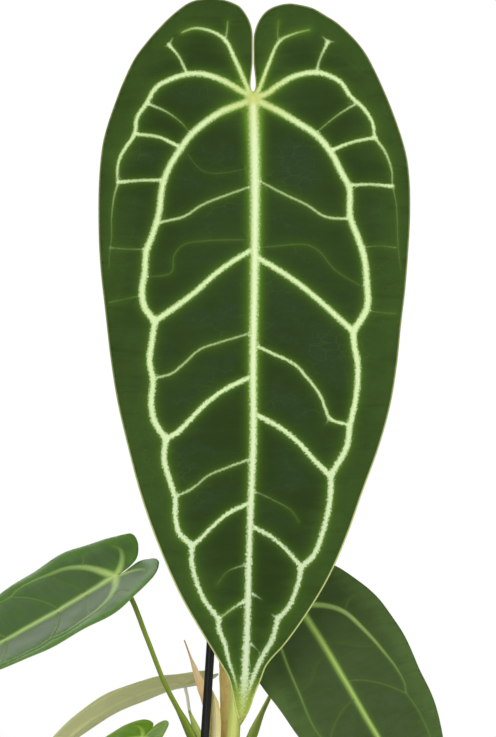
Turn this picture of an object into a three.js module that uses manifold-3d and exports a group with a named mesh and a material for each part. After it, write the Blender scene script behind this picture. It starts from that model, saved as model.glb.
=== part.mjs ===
// A potted queen anthurium: five long heart-shaped leaves with raised pale veins on petioles that rise from one
// short stem, a stake that holds up the tallest leaf, and a plain round pot of bark mix.
//
// Millimetres, +Z up. The origin is the centre of the pot's foot, on the surface that it stands on.
// The tallest leaf faces -Y. A leaf is drawn flat first: a point is [across, along], from the petiole junction,
// with along growing towards the leaf's tip, and negative in the two lobes above the junction.

import * as THREE from "three";
import { mergeVertices } from "three/addons/utils/BufferGeometryUtils.js";
import Module from "manifold-3d";

const wasm = await Module();
wasm.setup();

// Driving dimensions
const GAP = 0.35; // between solids that touch
const SHORTEST_EDGE = 0.08;
const POT = { height: 118, rimRadius: 65, collarHeight: 14, collarStep: 2.6, footRadius: 46, wall: 1.9, floor: 3 };
const DRAIN_HOLES = { count: 6, radius: 4.5, ring: 31 };
const MIX_LEVEL = 101; // height of the potting mix, above the foot
const CHIPS = { count: 34, length: [11, 20], width: [7, 12], thickness: [3.5, 6] };
const STEM = { bottom: 72, top: 147, radius: 8.2, centre: [2, 4] };
const LEAF = {
  length: 365.5, lobes: 58.5, halfWidth: 91, thickness: 1.1, notch: 4, slitHalfWidth: 0.35, lobeMiddle: [45, -20],
};
const STAKE = { radius: 2.5, foot: [-18.5, -5, 30], head: [11, -4.6, 497] };
const TIE = { height: 5, thickness: 1, levels: [404, 462] };
const TAU = 2 * Math.PI;

// Small helpers

const vec = (p) => new THREE.Vector3(...p);
const mix = (a, b, share) => a + (b - a) * share;
const radians = THREE.MathUtils.degToRad;

// A seeded draw from 0 to 1, the same on every run.
function seededDraw(seed) {
  let state = seed;
  return () => {
    state = (state * 1664525 + 1013904223) % 4294967296;
    return state / 4294967296;
  };
}

function solidOf(geometry) {
  const bare = geometry.clone();
  bare.deleteAttribute("normal");
  bare.deleteAttribute("uv");
  const merged = mergeVertices(bare, 1e-4);
  return new wasm.Manifold(
    new wasm.Mesh({
      numProp: 3,
      vertProperties: new Float32Array(merged.attributes.position.array),
      triVerts: new Uint32Array(merged.index.array),
    }),
  );
}

function geometryOf(solid) {
  const mesh = solid.getMesh();
  const geometry = new THREE.BufferGeometry();
  geometry.setAttribute("position", new THREE.BufferAttribute(mesh.vertProperties, 3));
  geometry.setIndex(new THREE.BufferAttribute(mesh.triVerts, 1));
  const flat = geometry.toNonIndexed();
  flat.computeVertexNormals();
  return flat;
}

// A solid's largest body without its shortest edges, so that a cut leaves no scraps or slivers behind.
function tidied(solid) {
  const bodies = solid.asOriginal().simplify(SHORTEST_EDGE).decompose();
  return bodies.reduce((best, body) => (body.volume() > best.volume() ? body : best));
}

function indexedSolid(points, triangles) {
  const geometry = new THREE.BufferGeometry();
  geometry.setAttribute("position", new THREE.Float32BufferAttribute(points.flatMap((p) => [p.x, p.y, p.z]), 3));
  geometry.setIndex(triangles.flat());
  return solidOf(geometry);
}

// A closed body through rings of points, each ring convex and counter-clockwise seen from the far end.
function loft(rings) {
  const sides = rings[0].length;
  const triangles = [];
  for (let i = 0; i + 1 < rings.length; i++) {
    for (let k = 0; k < sides; k++) {
      const a = i * sides + k;
      const b = i * sides + ((k + 1) % sides);
      triangles.push([a, b, b + sides], [a, b + sides, a + sides]);
    }
  }
  const last = (rings.length - 1) * sides;
  for (let k = 1; k + 1 < sides; k++) {
    triangles.push([0, k + 1, k], [last, last + k, last + k + 1]);
  }
  return indexedSolid(rings.flat(), triangles);
}

// A round bar along a smooth curve through the points, with a radius for each point.
function stalk(points, radii, { sides = 8, steps = 12, swell = 0 } = {}) {
  const curve = new THREE.CatmullRomCurve3(points.map(vec), false, "centripetal");
  const frames = curve.computeFrenetFrames(steps, false);
  const rings = [];
  for (let i = 0; i <= steps; i++) {
    const share = i / steps;
    const centre = curve.getPointAt(share);
    const place = curve.getUtoTmapping(share) * (radii.length - 1);
    const from = Math.min(Math.floor(place), radii.length - 2);
    const radius = mix(radii[from], radii[from + 1], place - from) + swell;
    rings.push(
      Array.from({ length: sides }, (_, k) =>
        centre
          .clone()
          .addScaledVector(frames.normals[i], radius * Math.cos((k * TAU) / sides))
          .addScaledVector(frames.binormals[i], radius * Math.sin((k * TAU) / sides)),
      ),
    );
  }
  return loft(rings);
}

// A sheet: flat triangles, lifted into space on both faces alike and closed round the rim.
function thicken(flat, triangles, surface, thickness) {
  const count = flat.length;
  const upper = flat.map(([x, y]) => surface(x, y, thickness(x, y) / 2));
  const lower = flat.map(([x, y]) => surface(x, y, -thickness(x, y) / 2));
  const used = new Set(triangles.flatMap(([a, b, c]) => [`${a},${b}`, `${b},${c}`, `${c},${a}`]));
  const closed = [...triangles, ...triangles.map(([a, b, c]) => [a + count, c + count, b + count])];
  for (const edge of used) {
    const [a, b] = edge.split(",").map(Number);
    if (!used.has(`${b},${a}`)) {
      closed.push([b, a, a + count], [b, a + count, b + count]);
    }
  }
  return indexedSolid([...upper, ...lower], closed);
}

// Leaf outline and veins, of the largest leaf; the others are smaller copies of the same plan.

// Each margin runs from the top of the slit between the lobes, round its lobe and down to the tip.
const MARGIN_LEFT = [
  [0, -38], [-3.6, -49.5], [-11.7, -57.3], [-25.4, -60.3], [-38.4, -57.3], [-54.8, -43.1], [-69.7, -24.3],
  [-80.3, 0], [-87.6, 24], [-90.4, 58], [-89, 99], [-82.2, 156], [-73.3, 200], [-65.5, 229.5], [-56, 257],
  [-42.6, 288], [-28.2, 313.5], [-18.4, 330], [-12.5, 345], [-8.6, 362], [-7.3, 365.5],
];
const MARGIN_RIGHT = [
  [0, -38], [4, -47.4], [9.5, -53.6], [21.5, -57.1], [35.2, -54.3], [49.5, -45.5], [59.3, -36.2], [71.1, -18],
  [81.3, 5.6], [89.4, 31], [91.6, 62], [88.9, 108], [83.4, 156], [72.7, 203.6], [63.2, 229.4], [54.1, 255],
  [43.5, 279], [30.4, 301], [17.5, 319], [7.4, 331.3], [1.2, 347], [-4.1, 360.5], [-7.3, 365.5],
];

// A vein is [half width at its start, half width at its end, points]. The midrib and the strong veins stand proud.
const MIDRIB = [3, 1.1, [[0, -3], [1, 40], [1, 90], [0, 158], [0, 202], [-2.5, 266], [-4, 320], [-7, 361]]];
const STRONG_VEINS = [
  [1.9, 1.4, [[-1, 1], [-18.5, 8], [-36.5, 22], [-49.5, 42], [-55, 68], [-62, 90], [-64.5, 113], [-57, 131]]],
  [1.4, 1.3, [[-57, 131], [-60, 154], [-59, 178], [-50.5, 199]]],
  [1.3, 1.2, [[-50.5, 199], [-48.5, 222], [-45, 244], [-35.5, 260.5]]],
  [1.2, 0.8, [[-35.5, 260.5], [-32, 284], [-20, 303], [-16.5, 317.5], [-11, 337.5], [-8, 350]]],
  [1.9, 1.4, [[1, 1], [14.5, 7.5], [37, 22], [51.5, 44], [56.5, 70], [64.5, 93.5], [66, 123], [58, 137]]],
  [1.4, 1.3, [[58, 137], [60.5, 156], [56, 191], [45, 220]]],
  [1.3, 1.2, [[45, 220], [39.5, 255], [27.5, 273.5]]],
  [1.2, 0.8, [[27.5, 273.5], [21, 295.5], [11, 315.5], [0, 337.5], [-4, 350]]],
  [1.2, 1.2, [[0, 88], [-11, 95.5], [-33, 113.5], [-57, 131]]],
  [1.2, 1.2, [[0, 162], [-14.5, 169.5], [-36.5, 188], [-50.5, 199]]],
  [1, 1, [[0, 235], [-14.5, 242], [-35.5, 260.5]]],
  [1.2, 1.2, [[0, 92], [14.5, 101], [40.5, 121], [58, 137]]],
  [1.2, 1.2, [[0, 184], [14.5, 192], [45, 220]]],
  [1, 1, [[0, 249], [11, 256], [27.5, 273.5]]],
  [1.6, 0.6, [[-1, -2], [-18.5, -11], [-38.5, -14.5], [-57, -6.5], [-69.5, 21], [-79.5, 46], [-82.5, 82]]],
  [1.6, 0.6, [[1, -2], [14.5, -7.5], [37, -15.5], [52, -9], [71.5, 23], [81.5, 51.5], [84.5, 88]]],
  [1.3, 0.6, [[-1.6, -5], [-11, -24], [-16.5, -35], [-25.5, -40.5], [-42, -39.5]]],
  [1.3, 0.6, [[1.6, -5], [9, -20], [15.5, -34], [24, -38.5], [33, -41]]],
];
const FINE_VEINS = [
  [0.8, 0.8, [[0, 52], [-29.5, 63], [-54, 73.5]]],
  [0.8, 0.8, [[0, 137], [-31, 147.5], [-58, 164]]],
  [0.8, 0.8, [[0, 210], [-25.5, 220], [-46, 233]]],
  [0.8, 0.8, [[0, 47], [31, 63], [56, 71]]],
  [0.8, 0.8, [[0, 144], [24, 156], [44, 187], [56, 191]]],
  [0.9, 0.9, [[-69.5, 21], [-55, 23], [-43, 29]]],
  [0.9, 0.9, [[71.5, 23], [58, 26], [45, 31]]],
  [0.8, 0.8, [[-79, 49.5], [-53, 48.5]]],
  [0.8, 0.8, [[81.5, 51.5], [55.5, 51.5]]],
  [0.9, 0.7, [[-38.5, -14.5], [-49.5, -32]]],
  [0.9, 0.7, [[37, -15.5], [44, -34]]],
];
const RIDGE = { midrib: [1.1, 1.7], strong: [0.5, -0.2], fine: [0.35, -0.25] }; // how far it stands out [above, below]

// Where a flat leaf point lies in space: straight out from the leaf's plane by the bend of its spine, whose slope runs
// evenly from the lobes to the tip, by the fold at the midrib, the droop towards the margins and their waves, and
// by how far the left and the right lobe curl up. A pinched lobe is also drawn in, towards its own middle.
function leafSurface({ scale, junction, axis, face, slope, fold, droop, wave, waves, curl = [0, 0], pinch = [0, 0] }) {
  const down = vec(axis).normalize();
  const out = vec(face);
  out.addScaledVector(down, -out.dot(down)).normalize();
  const side = new THREE.Vector3().crossVectors(out, down);
  const slopeTurn = (slope[1] - slope[0]) / (LEAF.length + LEAF.lobes);
  const slopeAtJunction = slope[0] + slopeTurn * LEAF.lobes;

  function middle(across, along) {
    const share = THREE.MathUtils.clamp(along / LEAF.length, 0, 1);
    const edge = Math.abs(across) / LEAF.halfWidth;
    const spine = along * (slopeAtJunction + (slopeTurn * along) / 2);
    const foldRise = (Math.hypot(across, 4) - 4) * mix(fold[0], fold[1], share ** 2);
    const ripple = wave * Math.sin(share * waves * TAU + Math.sign(across)) * edge ** 3;
    const inLobe = Math.max(0, -along / LEAF.lobes) ** 2;
    const lobeCurl = mix(...curl, THREE.MathUtils.smoothstep(across, -8, 8)) * inLobe;
    const drawn = pinch[across < 0 ? 0 : 1] * inLobe;
    return vec(junction)
      .addScaledVector(down, (along - 0.4 * drawn * (along - LEAF.lobeMiddle[1])) * scale)
      .addScaledVector(side, (across - drawn * (across - Math.sign(across) * LEAF.lobeMiddle[0])) * scale)
      .addScaledVector(out, (spine + foldRise - droop * edge ** 2 + ripple + lobeCurl) * scale);
  }

  return function surface(across, along, lift) {
    const lengthwise = middle(across, along + 0.5).sub(middle(across, along - 0.5));
    const sideways = middle(across + 0.5, along).sub(middle(across - 0.5, along));
    const normal = lengthwise.cross(sideways).normalize();
    return middle(across, along).addScaledVector(normal, lift);
  };
}

// The flat mesh of a blade: ribs that fan from the notch into both lobes, then step down the midrib to the tip.
function bladeMesh(ribsInLobe, ribsBelow, cells) {
  const flat = [];
  const triangles = [];
  const point = (x, y) => flat.push([x, y]) - 1;
  const notch = point(0, -LEAF.notch);
  const tip = point(...MARGIN_LEFT.at(-1));
  const spine = new THREE.SplineCurve(MIDRIB[2].map(([x, y]) => new THREE.Vector2(x, y)));
  const centres = Array.from({ length: ribsBelow - 1 }, (_, i) => {
    const along = mix(-LEAF.notch, LEAF.length, (i + 1) / ribsBelow);
    const near = spine.getPoint(THREE.MathUtils.clamp(along / LEAF.length, 0, 1));
    return point(near.x, along);
  });
  const slit = Array.from({ length: cells }, (_, j) => point(0, mix(-LEAF.notch, -38, (j + 1) / cells)));
  for (const [margin, turnRound] of [[MARGIN_LEFT, false], [MARGIN_RIGHT, true]]) {
    const curve = new THREE.SplineCurve(margin.map(([x, y]) => new THREE.Vector2(x, y)));
    const rim = curve.getSpacedPoints(200);
    const shoulder = rim.findIndex((p, i) => i > 20 && p.y > 8);
    const places = [
      ...Array.from({ length: ribsInLobe }, (_, i) => Math.round((shoulder * i) / ribsInLobe)),
      ...Array.from({ length: ribsBelow }, (_, i) => Math.round(mix(shoulder, 200, i / ribsBelow))),
    ];
    const ribs = places.map((place, i) => {
      const root = i <= ribsInLobe ? notch : centres[i - ribsInLobe - 1];
      const [x, y] = flat[root];
      if (i === 0) return [root, ...slit];
      const inner = Array.from({ length: cells }, (_, j) => {
        const share = (j + 1) / cells;
        return point(mix(x, rim[place].x, share), mix(y, rim[place].y, share));
      });
      return [root, ...inner];
    });
    ribs.push(Array(cells + 1).fill(tip));
    const add = (a, b, c) => {
      if (a !== b && b !== c && a !== c) triangles.push(turnRound ? [a, c, b] : [a, b, c]);
    };
    for (let i = 0; i + 1 < ribs.length; i++) {
      for (let j = 0; j < cells; j++) {
        add(ribs[i][j], ribs[i][j + 1], ribs[i + 1][j + 1]);
        add(ribs[i][j], ribs[i + 1][j + 1], ribs[i + 1][j]);
      }
    }
  }
  return { flat, triangles };
}

// A ridge of diamond section that follows a vein through the blade.
function ridge([widthAtStart, widthAtEnd, points], surface, [above, below], scale, steps) {
  const curve = new THREE.SplineCurve(points.map(([x, y]) => new THREE.Vector2(x, y)));
  const half = LEAF.thickness / 2;
  const rings = [];
  for (let i = 0; i <= steps; i++) {
    const share = i / steps;
    const { x, y } = curve.getPointAt(share);
    const heading = curve.getTangentAt(share);
    const reach = (mix(widthAtStart, widthAtEnd, share) * (half + above)) / Math.max(above, 0.35);
    const [dx, dy] = [-heading.y * reach, heading.x * reach];
    rings.push([
      surface(x, y, half + above * Math.sqrt(scale)),
      surface(x + dx, y + dy, 0),
      surface(x, y, -half - below * Math.sqrt(scale)),
      surface(x - dx, y - dy, 0),
    ]);
  }
  return loft(rings);
}

function leafSolid(pose) {
  const surface = leafSurface(pose);
  const { flat, triangles } = bladeMesh(...pose.mesh);
  const thickness = (x) => LEAF.thickness - 0.35 * Math.min(1, Math.abs(x) / LEAF.halfWidth);
  const blade = thicken(flat, triangles, surface, thickness);
  const ridges = [ridge(MIDRIB, surface, RIDGE.midrib, pose.scale, pose.ridgeSteps * 3)];
  for (const vein of STRONG_VEINS.slice(0, pose.strong)) {
    ridges.push(ridge(vein, surface, RIDGE.strong, pose.scale, Math.min(pose.ridgeSteps, 1 + vein[2].length)));
  }
  for (const vein of FINE_VEINS.slice(0, pose.fine)) {
    ridges.push(ridge(vein, surface, RIDGE.fine, pose.scale, Math.min(pose.ridgeSteps, vein[2].length)));
  }
  const slit = LEAF.slitHalfWidth / pose.scale;
  const opening = [
    [0, -4.7], [1.1, -6], [1.5, -9], [1.1, -14], [slit, -21], [slit, -41], [-slit, -41], [-slit, -21], [-1.1, -14],
    [-1.5, -9], [-1.1, -6],
  ];
  const cutter = loft([-3, 3].map((lift) => opening.map(([x, y]) => surface(x, y, lift))));
  return tidied(wasm.Manifold.union([blade, ...ridges]).subtract(cutter));
}

// Leaf poses

const LEAVES = {
  main_leaf: {
    scale: 1, junction: [18, -10, 534], axis: [0, 0, -1], face: [0, -1, 0], slope: [0.3, -0.12], fold: [0.09, 0.45],
    droop: 15, wave: 1.6, waves: 6.5, mesh: [10, 26, 5], ridgeSteps: 9, strong: 18, fine: 11,
  },
  left_leaf: {
    scale: 0.42, junction: [-62.3, -15, 253.6], axis: [-0.84, -0.346, -0.418], face: [-0.207, -0.507, 0.837],
    slope: [-0.1, 0], fold: [0.33, 0.17], droop: 11.6, curl: [13, 0], pinch: [0.3, 0], wave: 1.6, waves: 4,
    mesh: [8, 13, 4],
    ridgeSteps: 5, strong: 14, fine: 0,
  },
  right_leaf: {
    scale: 0.535, junction: [44.3, 34, 234.1], axis: [0.458, -0.476, -0.75], face: [0.165, -0.784, 0.598],
    slope: [0.09, -0.11], fold: [0.15, 0.05], droop: 9.5, wave: 1.6, waves: 4.5, mesh: [7, 13, 3], ridgeSteps: 5,
    strong: 14, fine: 0,
  },
  arched_leaf: {
    scale: 0.317, junction: [-22.7, 36, 187.3], axis: [-0.923, 0.205, -0.326], face: [-0.267, 0.267, 0.926],
    slope: [0.32, -0.68], fold: [0.16, 0.16], droop: 8.8, curl: [13.5, 13.5], wave: 1.6, waves: 3, mesh: [6, 11, 3],
    ridgeSteps: 3, strong: 8, fine: 0,
  },
  young_leaf: {
    scale: 0.252, junction: [-46.2, -24, 160.4], axis: [-0.557, -0.71, -0.43], face: [-0.32, -0.29, 0.9],
    slope: [-0.1, -0.1], fold: [0.33, 0.25], droop: 9, wave: 1.6, waves: 3, mesh: [6, 10, 3], ridgeSteps: 3,
    strong: 8, fine: 0,
  },
};

// Stem, with a swollen ring at each old leaf scar, and the roots that leave it above the mix

const STEM_SCARS = [92, 106, 117, 127, 136];
const ROOTS = [
  [[2, 4, 110], [-9, 6, 108], [-18, 10, 99], [-22, 12, 82]],
  [[2, 4, 118], [12, -3, 115], [21, -9, 104], [24, -12, 86]],
  [[2, 4, 110], [14, 11, 109], [24, 18, 100], [28, 21, 84]],
  [[2, 4, 115], [-4, 17, 113], [-7, 27, 103], [-8, 31, 86]],
  [[2, 4, 108], [1, -9, 107], [-1, -19, 98], [-2, -23, 82]],
];

function stemSolid(swell = 0) {
  const levels = 17;
  const sides = 12;
  const rings = [];
  for (let i = 0; i <= levels; i++) {
    const share = i / levels;
    const z = mix(STEM.bottom - swell, STEM.top + swell, share);
    const scar = Math.max(...STEM_SCARS.map((level) => Math.exp(-(((z - level) / 1.8) ** 2))));
    const taper = share > 0.85 ? Math.sqrt(1 - ((share - 0.85) / 0.16) ** 2) : 1;
    const radius = (STEM.radius - 1.6 * share + 0.8 * scar) * taper + swell;
    const [x, y] = [STEM.centre[0] + 1.5 * Math.sin(share * 3), STEM.centre[1] - 1.5 * share];
    rings.push(
      Array.from({ length: sides }, (_, k) =>
        vec([x + radius * Math.cos((k * TAU) / sides), y + radius * Math.sin((k * TAU) / sides), z]),
      ),
    );
  }
  const roots = ROOTS.map((points) => stalk(points, [2.1, 1.9, 1.7, 1.2], { sides: 6, steps: 7, swell }));
  return wasm.Manifold.union([loft(rings), ...roots]);
}

// Petioles: a thick sheathed base at the stem, a thin middle, and a slightly swollen joint under the blade

const PETIOLES = {
  main_petiole: {
    leaf: "main_leaf", radii: [3.9, 4, 3.4, 3, 2.9, 2.9, 3.1, 3.1],
    points: [
      [3, 3, 132], [6.4, 1.5, 160], [8.5, 1, 205], [10.5, 2.5, 300], [14, 3.5, 400], [17, 3, 470], [18.3, 0, 508],
    ],
  },
  left_petiole: {
    leaf: "left_leaf", radii: [3, 3.2, 2.9, 2.3, 1.6, 1.4, 1.4, 1.5, 1.5],
    points: [
      [-2, 3, 122], [-9.3, 1.8, 142], [-17.9, -1, 158.5], [-22.4, -2.6, 168], [-26, -4, 175], [-33.8, -7.5, 190.4],
      [-44.3, -12, 217.7], [-54.5, -14.5, 243],
    ],
  },
  right_petiole: {
    leaf: "right_leaf", radii: [3, 3.2, 2.9, 1.6, 1.1, 1.3, 1.5, 1.5],
    points: [
      [6, 6, 128], [12.6, 10, 146], [18.4, 15, 160], [23.3, 19, 171], [29.2, 25, 183], [38, 34.5, 209],
      [42.5, 38.5, 225],
    ],
  },
  arched_petiole: {
    leaf: "arched_leaf", radii: [2.2, 2, 1.4, 0.9, 0.9, 0.9],
    points: [[1, 8, 126], [-7, 17, 143], [-15, 26, 157], [-19.8, 32.5, 170], [-21.4, 35, 179.5]],
  },
  young_petiole: {
    leaf: "young_leaf", radii: [1.9, 1.8, 1.3, 1, 1, 1],
    points: [[2, -1, 112], [-8, -11.5, 124], [-24, -18.5, 138], [-38, -22.5, 151], [-44.5, -23.7, 156.5]],
  },
};

function petioleSolid({ leaf, points, radii }, swell = 0) {
  const surface = leafSurface(LEAVES[leaf]);
  const depth = LEAF.thickness / 2 + RIDGE.midrib[1] * Math.sqrt(LEAVES[leaf].scale) + GAP - swell;
  const end = surface(0, 0, -depth).toArray();
  const before = surface(0, 0, -depth - 2.2).toArray();
  const body = stalk([...points, before, end], [...radii, radii.at(-1)], { steps: points.length * 2 + 3, swell });
  return body;
}

// Bracts: the papery sheaths that wrapped each young leaf, left standing round the stem

const BRACTS = {
  bract_tall: {
    points: [
      [-5, 8.5, 122], [-6.8, 9, 150], [-9.3, 8.8, 176], [-12.9, 8.4, 187], [-16.2, 8, 196.5], [-19.2, 7.8, 205],
      [-22.7, 7.6, 215],
    ],
    halfWidths: [6.5, 4.6, 3.4, 3, 1.9, 0.6, 0.3], outward: [-0.4, 0.9, 0], bow: 0.5,
  },
  bract_middle: {
    points: [[0.5, 9.6, 136], [1.3, 10, 158], [1.8, 10, 178], [1.7, 9.6, 202], [2.3, 9, 228]],
    halfWidths: [4, 3.8, 3.6, 3.9, 0.4], outward: [-0.1, 1, 0], bow: 0.45,
  },
  bract_short: {
    points: [[-7, -1, 112], [-7.4, -1.2, 132], [-5.2, -0.6, 150], [-4.6, 0, 168], [-5.4, 0.4, 178], [-6.4, 0.6, 186]],
    halfWidths: [6.5, 5.4, 3.2, 3.3, 3, 0.4], outward: [-0.4, -0.9, 0], bow: 0.5,
  },
  bract_green: {
    points: [[-8, 5, 120], [-10, 5.6, 136], [-12.8, 5.6, 150], [-16.2, 4.8, 162], [-20, 4, 173.6]],
    halfWidths: [3.4, 3.8, 3.7, 2.9, 0.5], outward: [-0.6, 0.8, 0], bow: 0.4,
  },
};

function bractSolid({ points, halfWidths, outward, bow }, swell = 0) {
  const rows = 9;
  const columns = 4;
  const flat = [];
  const triangles = [];
  for (let i = 0; i <= rows; i++) {
    for (let j = 0; j <= columns; j++) {
      flat.push([(2 * j) / columns - 1, i / rows]);
    }
  }
  for (let i = 0; i < rows; i++) {
    for (let j = 0; j < columns; j++) {
      const a = i * (columns + 1) + j;
      const b = a + columns + 1;
      triangles.push([a, a + 1, b + 1], [a, b + 1, b]);
    }
  }
  const curve = new THREE.CatmullRomCurve3(points.map(vec), false, "centripetal");
  const out = vec(outward).normalize();
  const surface = (v, u, lift) => {
    const share = THREE.MathUtils.clamp(u, 0, 1);
    const heading = curve.getTangentAt(share);
    const normal = out.clone().addScaledVector(heading, -out.dot(heading)).normalize();
    const across = new THREE.Vector3().crossVectors(heading, normal);
    const place = curve.getUtoTmapping(share) * (halfWidths.length - 1);
    const from = Math.min(Math.floor(place), halfWidths.length - 2);
    const width = mix(halfWidths[from], halfWidths[from + 1], place - from) + swell;
    return curve
      .getPointAt(share)
      .addScaledVector(across, v * width)
      .addScaledVector(normal, lift - bow * width * v * v);
  };
  return thicken(flat, triangles, surface, () => 0.8 + 2 * swell);
}

// Pot, potting mix, stake and ties

function potSolid() {
  const { height, rimRadius, collarHeight, collarStep, footRadius, wall, floor } = POT;
  const shoulder = height - collarHeight;
  const underCollar = rimRadius - collarStep - 0.6;
  const profile = [
    [0, 0], [footRadius - 1.5, 0], [footRadius, 1.5], [underCollar, shoulder], [rimRadius - 0.4, shoulder + 0.8],
    [rimRadius, height - 1.4], [rimRadius - 0.8, height], [rimRadius - wall + 0.2, height],
    [rimRadius - wall - 0.3, height - 1], [underCollar - wall + 0.3, shoulder + 0.5], [footRadius - wall, floor],
    [0, floor],
  ];
  const lathe = new THREE.LatheGeometry(profile.map(([r, z]) => new THREE.Vector2(r, z)), 40);
  let pot = solidOf(lathe.rotateX(Math.PI / 2));
  for (let k = 0; k < DRAIN_HOLES.count; k++) {
    const angle = (k * TAU) / DRAIN_HOLES.count;
    const hole = new THREE.CylinderGeometry(DRAIN_HOLES.radius, DRAIN_HOLES.radius, 3 * floor, 12);
    hole.rotateX(Math.PI / 2);
    hole.translate(DRAIN_HOLES.ring * Math.cos(angle), DRAIN_HOLES.ring * Math.sin(angle), floor / 2);
    pot = pot.subtract(solidOf(hole));
  }
  return pot;
}

// Radius of the pot's inside at a height.
function insideRadius(z) {
  const { height, rimRadius, collarHeight, collarStep, footRadius, wall, floor } = POT;
  const shoulderRadius = rimRadius - collarStep - 0.6 - wall + 0.3;
  return mix(footRadius - wall, shoulderRadius, (z - floor) / (height - collarHeight + 0.5 - floor));
}

function mixSurface(x, y) {
  const r = Math.hypot(x, y);
  const dome = 3.5 * Math.exp(-((r / 26) ** 2)) - 2 * (r / 55) ** 4;
  return MIX_LEVEL + dome + 0.9 * Math.sin(x * 0.21 + 1) * Math.cos(y * 0.18) + 0.6 * Math.sin(x * 0.11 - y * 0.25);
}

function barkChips() {
  const draw = seededDraw(41);
  const between = ([low, high]) => mix(low, high, draw());
  return Array.from({ length: CHIPS.count }, (_, i) => {
    const r = 51 * Math.sqrt((i + 0.5) / CHIPS.count);
    const angle = i * 2.39996;
    const [x, y] = [r * Math.cos(angle) + 2 * draw(), r * Math.sin(angle) + 2 * draw()];
    const chip = new THREE.BoxGeometry(between(CHIPS.length), between(CHIPS.width), between(CHIPS.thickness));
    const corners = chip.attributes.position;
    const shrink = 0.55 + 0.3 * draw();
    for (let k = 0; k < corners.count; k++) {
      if (corners.getX(k) > 0) corners.setY(k, corners.getY(k) * shrink);
      if (corners.getZ(k) > 0) corners.setX(k, corners.getX(k) * 0.8);
    }
    chip.rotateX((draw() - 0.5) * 0.7);
    chip.rotateY((draw() - 0.5) * 0.9);
    chip.rotateZ(draw() * TAU);
    chip.translate(x, y, mixSurface(x, y) + 0.6 + draw());
    return solidOf(chip);
  });
}

function mixSolid() {
  const sides = 24;
  const ring = (radius, height) =>
    Array.from({ length: sides }, (_, k) => {
      const [x, y] = [radius * Math.cos((k * TAU) / sides), radius * Math.sin((k * TAU) / sides)];
      return vec([x, y, height ?? mixSurface(x, y)]);
    });
  const bottom = POT.floor + GAP;
  const outside = (z) => insideRadius(z) * Math.cos(Math.PI / 40) - GAP;
  const topRings = [outside(MIX_LEVEL - 3) - 0.6, 46, 35, 24, 13, 3].map((radius) => ring(radius));
  const bed = loft([ring(outside(bottom), bottom), ...topRings]);
  const room = loft([ring(outside(bottom), bottom), ring(outside(POT.height), POT.height)]);
  const body = wasm.Manifold.union([bed, ...barkChips()]).intersect(room);
  const hole = stalk([STAKE.foot, STAKE.head], [STAKE.radius, STAKE.radius], { sides: 12, steps: 2, swell: GAP });
  return tidied(body.subtract(stemSolid(GAP)).subtract(hole));
}

function stakeSolid() {
  const [foot, head] = [vec(STAKE.foot), vec(STAKE.head)];
  const up = head.clone().sub(foot).normalize();
  const out = new THREE.Vector3().crossVectors(up, vec([0, 1, 0])).normalize();
  const back = new THREE.Vector3().crossVectors(up, out);
  const stations = [[foot, 0.2, 0.6], [foot, 1, 7], [head, 1, -1.4], [head, 0.6, 0]];
  const rings = stations.map(([end, size, shift]) =>
    Array.from({ length: 12 }, (_, k) =>
      end
        .clone()
        .addScaledVector(up, shift)
        .addScaledVector(out, size * STAKE.radius * Math.cos((k * TAU) / 12))
        .addScaledVector(back, size * STAKE.radius * Math.sin((k * TAU) / 12)),
    ),
  );
  return loft(rings);
}

// The centre of a bar through points at a height, by straight steps between them.
function centreAt(points, z) {
  const i = Math.max(1, points.findIndex((p) => p[2] >= z));
  const [a, b] = [points[i - 1], points[i]];
  const share = (z - a[2]) / (b[2] - a[2]);
  return new THREE.Vector2(mix(a[0], b[0], share), mix(a[1], b[1], share));
}

// An oval band that holds the tallest petiole to the stake.
function tieSolid(level) {
  const first = centreAt([STAKE.foot, STAKE.head], level);
  const second = centreAt(PETIOLES.main_petiole.points, level);
  const across = second.clone().sub(first);
  const reach = across.length() / 2;
  const outline = (radius) => {
    const shape = new THREE.Path();
    shape.absarc(reach, 0, radius, -Math.PI / 2, Math.PI / 2, false);
    shape.absarc(-reach, 0, radius, Math.PI / 2, (3 * Math.PI) / 2, false);
    shape.closePath();
    return shape.getPoints(6);
  };
  const clearance = 3.2 + 0.5;
  const band = new THREE.Shape(outline(clearance + TIE.thickness));
  band.holes.push(new THREE.Path(outline(clearance)));
  const geometry = new THREE.ExtrudeGeometry(band, { depth: TIE.height, bevelEnabled: false, curveSegments: 6 });
  geometry.rotateZ(across.angle());
  geometry.translate((first.x + second.x) / 2, (first.y + second.y) / 2, level - TIE.height / 2);
  return solidOf(geometry);
}

// Materials

const finish = (hex, roughness) => new THREE.MeshStandardMaterial({ color: hex, roughness, metalness: 0 });
const MATERIALS = {
  darkLeaf: finish(0x39522a, 0.62),
  leaf: finish(0x4a6a38, 0.5),
  oliveLeaf: finish(0x8a9462, 0.55),
  youngLeaf: finish(0x6c9a30, 0.45),
  petiole: finish(0x8fa648, 0.5),
  stem: finish(0x7d8a4a, 0.7),
  bract: finish(0xcaa56a, 0.8),
  greenBract: finish(0x86a53c, 0.6),
  plastic: finish(0x26282a, 0.5),
  mix: finish(0x4b3626, 0.95),
};

// Assembly

const plant = new THREE.Group();

function addPiece(name, solid, material) {
  const mesh = new THREE.Mesh(geometryOf(solid), material);
  mesh.name = name;
  plant.add(mesh);
}

const grownStem = stemSolid(GAP);
const petioles = Object.entries(PETIOLES).map(([name, spec]) => ({
  name,
  solid: tidied(petioleSolid(spec).subtract(grownStem)),
  grown: petioleSolid(spec, GAP),
}));
const grownStake = stalk([STAKE.foot, STAKE.head], [STAKE.radius, STAKE.radius], { sides: 12, steps: 2, swell: GAP });
const inTheWay = [grownStem, grownStake, ...petioles.map((p) => p.grown)];

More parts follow.
